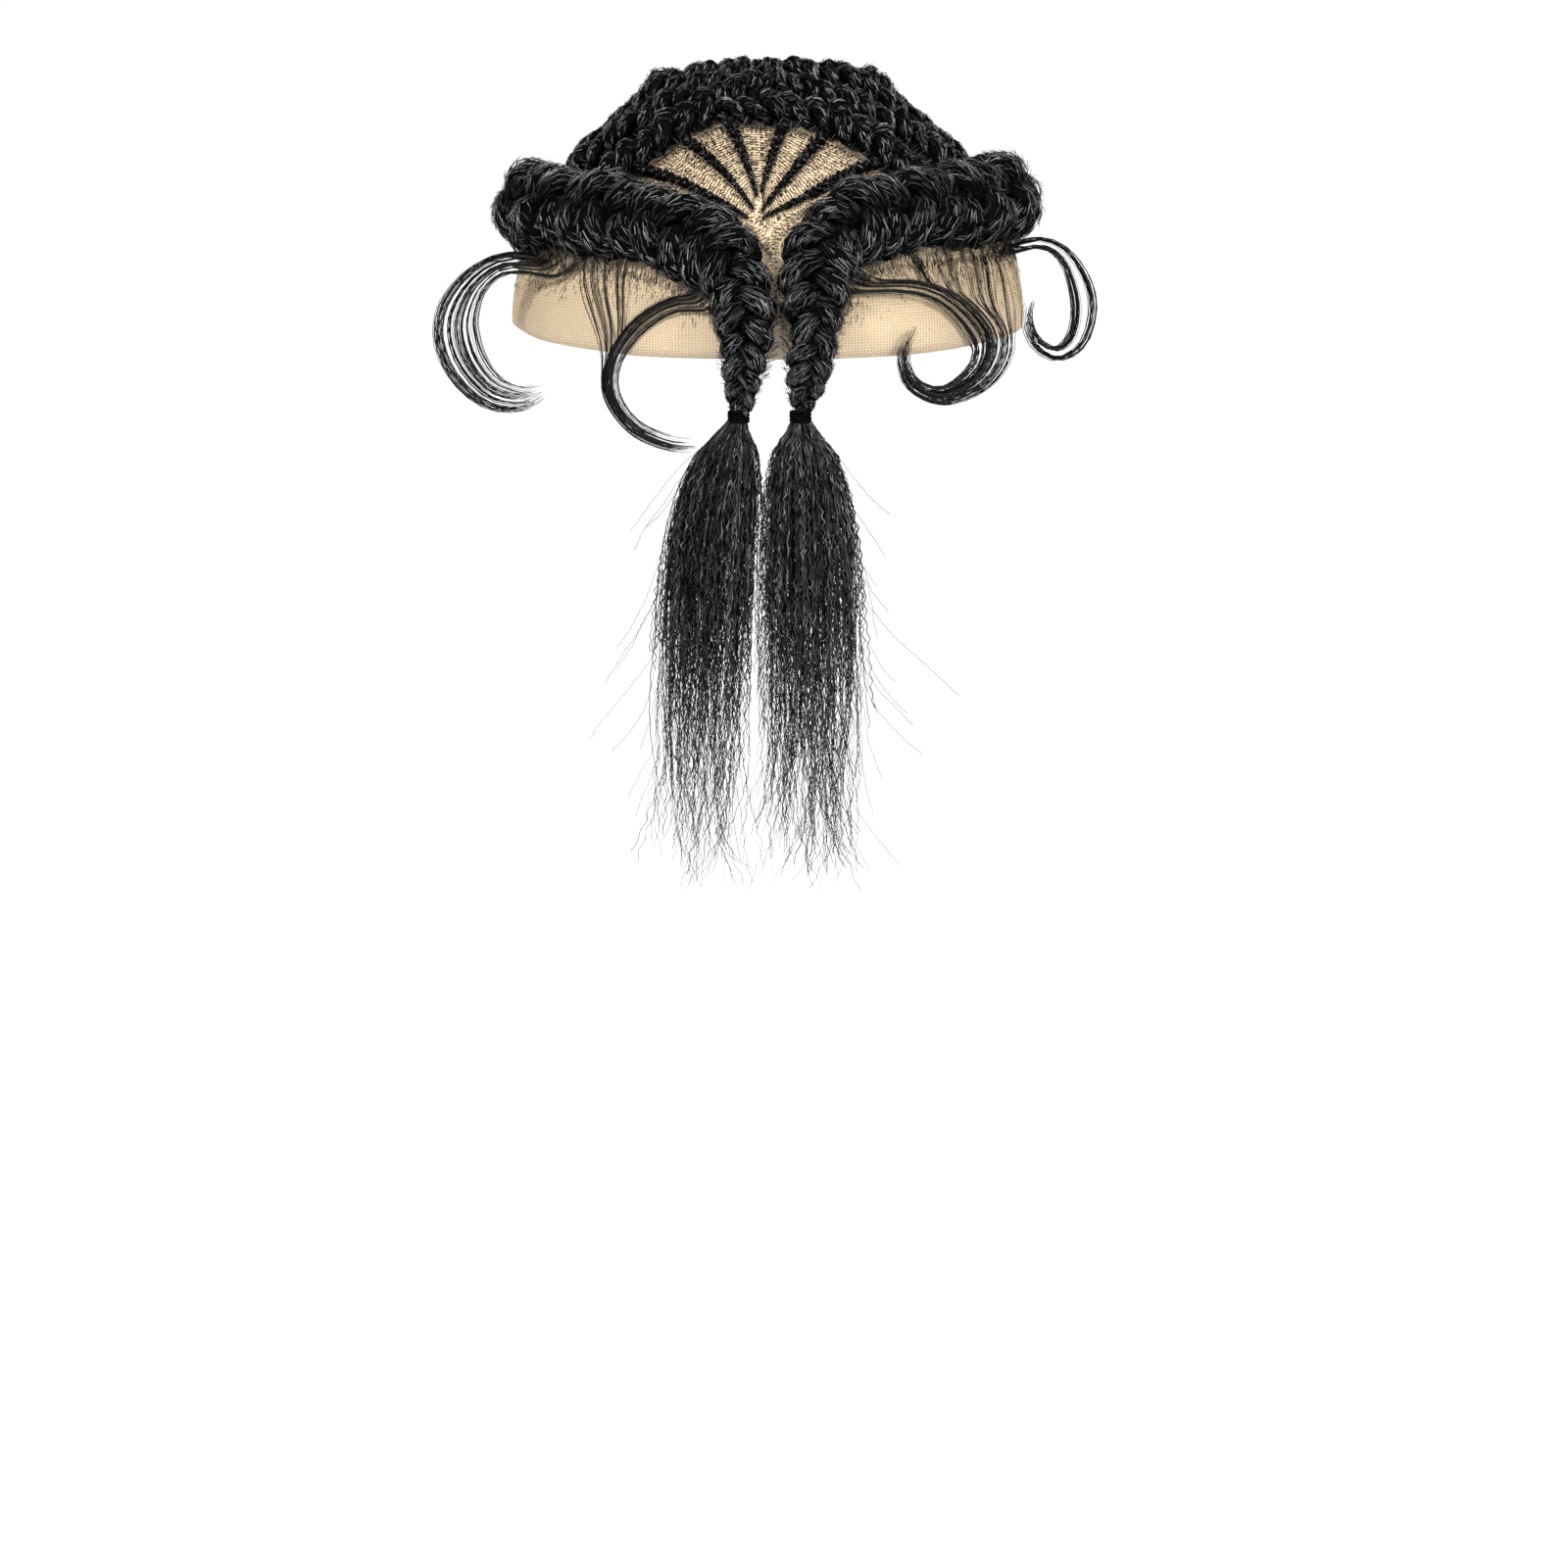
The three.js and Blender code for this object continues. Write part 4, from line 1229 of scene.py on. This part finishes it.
CURL_ROOTS = {
    # groups of strands: bearing of the roots from and to, their polar angle from and to, the share of
    # the line where they join it from and to, their lane in the lock from and to, strings and strands
    "curl_far_left": [
        (-44.0, -70.0, 69.0, 69.0, 0.04, 0.12, -1.0, 0.4, 5, 66),
        (-66.0, -78.0, 69.0, 69.0, 0.08, 0.14, 0.5, 1.0, 3, 34),
    ],
    "curl_near_left": [
        (-7.0, -15.0, 77.0, 71.5, 0.03, 0.1, -1.0, 0.8, 4, 56),
        (-31.0, -50.0, 70.0, 70.0, 0.36, 0.5, 0.2, 1.1, 5, 36),
    ],
    "curl_near_right": [
        (9.0, 18.0, 75.5, 70.5, 0.02, 0.08, 1.0, -0.3, 5, 50),
        (34.0, 68.0, 69.0, 69.0, 0.18, 0.44, 0.1, -1.1, 7, 62),
    ],
    "curl_far_right": [
        (60.0, 76.0, 68.0, 68.0, 0.03, 0.1, 1.0, 0.3, 3, 40),
        (76.0, 86.0, 68.0, 68.0, 0.05, 0.12, -0.5, -1.1, 3, 24),
    ],
}
CURL_FACING = np.array([0.0, -1.0, 0.0])  # added to outwards, it turns a lock's flat side to the back

# %% Places in a lock
LINE_STEP = 0.01


def lock_places(name, shares, lane):
    """Places in the lanes of a lock, from -1 to 1 across it, and the way that the lock runs there."""
    line = curve_through(CURLS[name], shares)
    middle, spread = line[..., :3], line[..., 3:]
    ahead = curve_through(CURLS[name], shares + LINE_STEP)[..., :3]
    behind = curve_through(CURLS[name], shares - LINE_STEP)[..., :3]
    along = unit(ahead - behind)
    across = unit(np.cross(along, outward_at(middle) + CURL_FACING))
    return middle + across * spread * lane, along


# %% Curl strands
STRING_PLACES = (0.15, 0.85)  # where a string lies in its own part of the group
STRING_SPREAD = 0.022
LOOSE_SHARE = 0.12  # share of strands that keep out of the strings, and where they lie in the group
LOOSE_PLACES = (-0.1, 1.1)
ROOT_SCATTER = 1.2  # degrees
ROOT_FALL = np.array([0.0, 0.0, -0.6])  # added to the way the lock runs, it gives the way a root leaves
ROOT_POINTS = 8
LOCK_POINTS = 18
CURL_REACH = (0.76, 1.0)  # where strands end, as shares of the line
CURL_DEPTH = 0.5
CURL_ROOT_DEPTH = 0.4  # share of that spread where a strand joins the lock, which grows by 1 to its tip
CURL_WANDER = 0.04
CURL_LIFT = 0.25
CURL_RADIUS = 0.14
CURL_GIRTH = (0.6, 1.25)
CURL_THINNING = [(0.0, 0.6), (0.15, 0.9), (0.85, 1.0), (1.0, 0.45)]
FIRST_CURL_SEED = 90


def curl_strands(name, group, rng):
    strings, count = group[8:]
    string = (np.arange(strings) + rng.uniform(*STRING_PLACES, strings)) / strings
    place = string[rng.integers(0, strings, count)] + rng.normal(0.0, STRING_SPREAD, count)
    place = np.where(rng.random(count) < LOOSE_SHARE, rng.uniform(*LOOSE_PLACES, count), place)
    bearing, polar, join, lane = (group[i] + (group[i + 1] - group[i]) * place for i in (0, 2, 4, 6))
    roots = head_point(bearing, polar + rng.normal(0.0, ROOT_SCATTER, count), LACE_WALL)
    reach = rng.uniform(*CURL_REACH, count)
    along_lock = np.linspace(0.0, 1.0, LOCK_POINTS)[None]
    shares = join[:, None] + (reach - join)[:, None] * along_lock
    lock, heading = lock_places(name, shares, lane[:, None, None])
    depth = rng.normal(0.0, CURL_DEPTH, (count, 1, 1)) * (CURL_ROOT_DEPTH + along_lock[..., None])
    lock = lock + outward_at(lock) * depth
    u = np.linspace(0.0, 1.0, ROOT_POINTS, endpoint=False)[None, :, None]
    start, end = roots[:, None], lock[:, :1]
    far = np.linalg.norm(end - start, axis=-1, keepdims=True)
    leave = across_surface(heading[:, :1] + ROOT_FALL, outward_at(start)) * far
    arrive = heading[:, :1] * far
    root = (2 * u**3 - 3 * u**2 + 1) * start + (u**3 - 2 * u**2 + u) * leave
    root = root + (3 * u**2 - 2 * u**3) * end + (u**3 - u**2) * arrive
    paths = np.concatenate([root, lock], axis=1)
    paths = paths + np.cumsum(rng.normal(0.0, CURL_WANDER, paths.shape), axis=1)
    paths = clear_of_lace(paths, LACE_WALL + CURL_LIFT)
    thin = np.interp(np.linspace(0.0, 1.0, ROOT_POINTS + LOCK_POINTS), *zip(*CURL_THINNING))
    radii = CURL_RADIUS * rng.uniform(*CURL_GIRTH, count)[:, None] * thin[None]
    return paths, radii, rng.random(count)


for seed, name in enumerate(CURLS, FIRST_CURL_SEED):
    rng = np.random.default_rng(seed)
    mesh = hair_mesh(name + "_hair", [curl_strands(name, group, rng) for group in CURL_ROOTS[name]])
    add_piece(mesh.name, mesh, [curl_fibre], [name])

# %% [markdown]
# ## Knotted hairs
# Between the plaits the lace shows, stitched with short hairs that are combed towards the nearest
# plait. In the strips of the fan they stand in rank and file: the ranks follow the strip, and each
# stitch runs across it. Elsewhere they sit on a slightly uneven grid, as knots in a net do, and only
# where no plait covers them. Below the side braids they thin out towards the bare hem.

# %% Stitches in the strips of the fan
STITCH_PITCH = 1.15
STITCH_FILE = 1.5
FIRST_STITCH = 0.03  # share of a strip before its first rank
MOST_FILES = 5  # to each side of the middle of a strip
STITCH_MARGIN = 0.4  # room left for the rows beside a strip, as a share of their width
STITCH_SLANT = (0.1, 0.12)  # mean and spread
STITCH_SCATTER = 0.06
STITCH_HALF = (0.5, 0.8)
STITCH_SINK = 2.0  # sinks the ends below the lace, and clear_of_lace then lifts them to just above it
STITCH_LIFT = 0.16
STITCH_RADIUS = (0.13, 0.2)
STITCH_TAPER = np.array([[1.0, 0.7]])
KNOT_TONE = 0.4
KNOT_SEED = 101


def strip_stitches(first, second, rng):
    one, two = first["seats"], second["seats"]
    middle = (one + two) / 2
    length = np.sum(np.linalg.norm(np.diff(middle, axis=0), axis=1))
    stations = np.arange(FIRST_STITCH, 1.0, STITCH_PITCH / length)
    files = np.arange(-MOST_FILES, MOST_FILES + 1) * STITCH_FILE
    station, place = (grid.ravel() for grid in np.meshgrid(stations, files, indexing="ij"))
    sample = np.minimum(station * (len(one) - 1), len(one) - 1).astype(int)
    across = two[sample] - one[sample]
    width = np.linalg.norm(across, axis=1)
    kept = np.abs(place) < width / 2 - STITCH_MARGIN * first["width"][sample]
    sample, place, across = sample[kept], place[kept], unit(across[kept])
    count = len(place)
    along = unit(np.gradient(middle, axis=0))[sample]
    run = unit(across + along * rng.normal(*STITCH_SLANT, count)[:, None])
    centre = middle[sample] + across * (place + rng.normal(0.0, STITCH_SCATTER, count))[:, None]
    half = rng.uniform(*STITCH_HALF, count)[:, None]
    ends = np.stack([centre - run * half, centre + run * half], axis=1)
    stitches = clear_of_lace(ends - outward_at(ends) * STITCH_SINK, LACE_WALL + STITCH_LIFT)
    radii = rng.uniform(*STITCH_RADIUS, count)[:, None] * STITCH_TAPER
    return stitches, radii, rng.random(count) * KNOT_TONE


fan = list(fan_routes.values())
rng = np.random.default_rng(KNOT_SEED)
stitch_batches = [strip_stitches(first, second, rng) for first, second in zip(fan, fan[1:])]
stitch_places = np.concatenate([batch[0][:, 1] for batch in stitch_batches])
print("stitches in the fan:", len(stitch_places))

# %% Distance to the plaits
SAMPLE_STRIDE = 4
POINTS_AT_ONCE = 500  # keeps the table of distances small

all_routes = [*side_routes.values(), *row_routes.values(), *fan_routes.values()]
route_places = np.concatenate([route["seats"][::SAMPLE_STRIDE] for route in all_routes])
route_halves = np.concatenate([route["width"][::SAMPLE_STRIDE] / 2 for route in all_routes])


def nearest_place(points, targets, halves):
    """The gap from each point to the nearest target, less the target's half width, and the way to it."""
    gap = np.empty(len(points))
    towards = np.empty_like(points)
    for start in range(0, len(points), POINTS_AT_ONCE):
        part = slice(start, start + POINTS_AT_ONCE)
        lines = targets[None] - points[part, None]
        away = np.linalg.norm(lines, axis=-1) - halves
        best = np.argmin(away, axis=1)
        rows = np.arange(len(best))
        gap[part] = away[rows, best]
        towards[part] = lines[rows, best]
    return gap, unit(towards)


# %% Knots on the lace
KNOT_PITCH = 0.85
KNOT_POLARS = (8.0, 86.0)
KNOT_RING = 90.0  # mean radius of the widest ring
KNOT_SCATTER = 0.08
KNOT_BARE = 4.0  # degrees of bare lace above the hem
KNOT_LIFT = 0.05
BELOW_POLAR = 65.0  # below the side braids: lower than this, and to the sides of their hanging ends
BELOW_BEARING = 9.0
FAN_POLAR = 30.0  # round the fan: lower than this, and not far from the middle of the back
FAN_BEARING = 45.0
BELOW_FADE = 3.5
FAN_KEPT = 0.85  # shares of the knots that carry a hair
OTHERS_KEPT = 0.42
UNDER_PLAIT = 0.6
FAN_ROOM = 0.5  # room left to the stitches
OTHERS_ROOM = 0.65

spots = []
for polar in np.arange(*KNOT_POLARS, KNOT_PITCH / CLOTH_DOWN):
    count = int(2 * math.pi * KNOT_RING * math.sin(math.radians(polar)) / KNOT_PITCH)
    bearings = np.arange(count) * 360.0 / count - 180.0 + rng.uniform(0.0, 1.0)
    spots.append(np.stack([bearings, np.full(count, polar)], -1))
spots = np.concatenate(spots)
spots = spots + rng.normal(0.0, KNOT_SCATTER, spots.shape)
spots = spots[spots[:, 1] < hem_polar(spots[:, 0]) - KNOT_BARE]
bearing, polar = np.abs(spots[:, 0]), spots[:, 1]
places = head_point(*spots.T, LACE_WALL + KNOT_LIFT)
gap, towards = nearest_place(places, route_places, route_halves)
free, _ = nearest_place(places, stitch_places, 0.0)
below = (polar > BELOW_POLAR) & (bearing > BELOW_BEARING)
by_fan = (polar > FAN_POLAR) & (bearing < FAN_BEARING) & ~below
keep = np.where(by_fan, FAN_KEPT, OTHERS_KEPT)
keep = np.where(below, np.exp(-np.maximum(gap, 0.0) / BELOW_FADE), keep)
shown = (gap > -UNDER_PLAIT) & (free > np.where(by_fan, FAN_ROOM, OTHERS_ROOM))
shown = shown & (rng.random(len(gap)) < keep)
places, towards, below, by_fan = places[shown], towards[shown], below[shown], by_fan[shown]
print("knots:", len(places), "below the braids:", int(below.sum()))

# %% Knotted hairs
HANGING = [[0.0, 0.0, -1.0]]
KNOT_LEAN = 0.2
STUBBLE_LENGTH = (0.6, 2.2)  # below the side braids
KNOT_LENGTH = (0.7, 1.2)
KNOT_ROOT_LIFT = 0.1
KNOT_TIP_LIFT = 0.2
FAN_KNOT_RADIUS = 0.2
KNOT_RADIUS = 0.12
KNOT_GIRTH = (0.6, 1.1)
KNOT_TAPER = np.array([[1.0, 0.55]])

count = len(places)
outward = outward_at(places)
lean = across_surface(np.where(below[:, None], HANGING, towards), outward)
lean = unit(lean + rng.normal(0.0, KNOT_LEAN, lean.shape))
length = np.where(below, rng.uniform(*STUBBLE_LENGTH, count), rng.uniform(*KNOT_LENGTH, count))
share = np.array([0.0, 1.0])[None, :, None]
paths = places[:, None] + lean[:, None] * share * length[:, None, None]
paths = paths + outward[:, None] * (KNOT_ROOT_LIFT + KNOT_TIP_LIFT * share)
paths = clear_of_lace(paths, LACE_WALL + KNOT_ROOT_LIFT)
radii = np.where(by_fan, FAN_KNOT_RADIUS, KNOT_RADIUS) * rng.uniform(*KNOT_GIRTH, count)
knot_batch = (paths, radii[:, None] * KNOT_TAPER, rng.random(count) * KNOT_TONE)
mesh = hair_mesh("knotted_hairs", [knot_batch, *stitch_batches])
add_piece("knotted_hairs", mesh, [curl_fibre])

# %% Finish
boxes = {"cad": cad_box, "visual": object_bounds()}
boxes = {name: [[float(v) for v in corner] for corner in box] for name, box in boxes.items()}
print("triangles in all:", sum(triangle_tally.values()), "largest piece:", max(triangle_tally.values()))
print("boxes:", boxes)
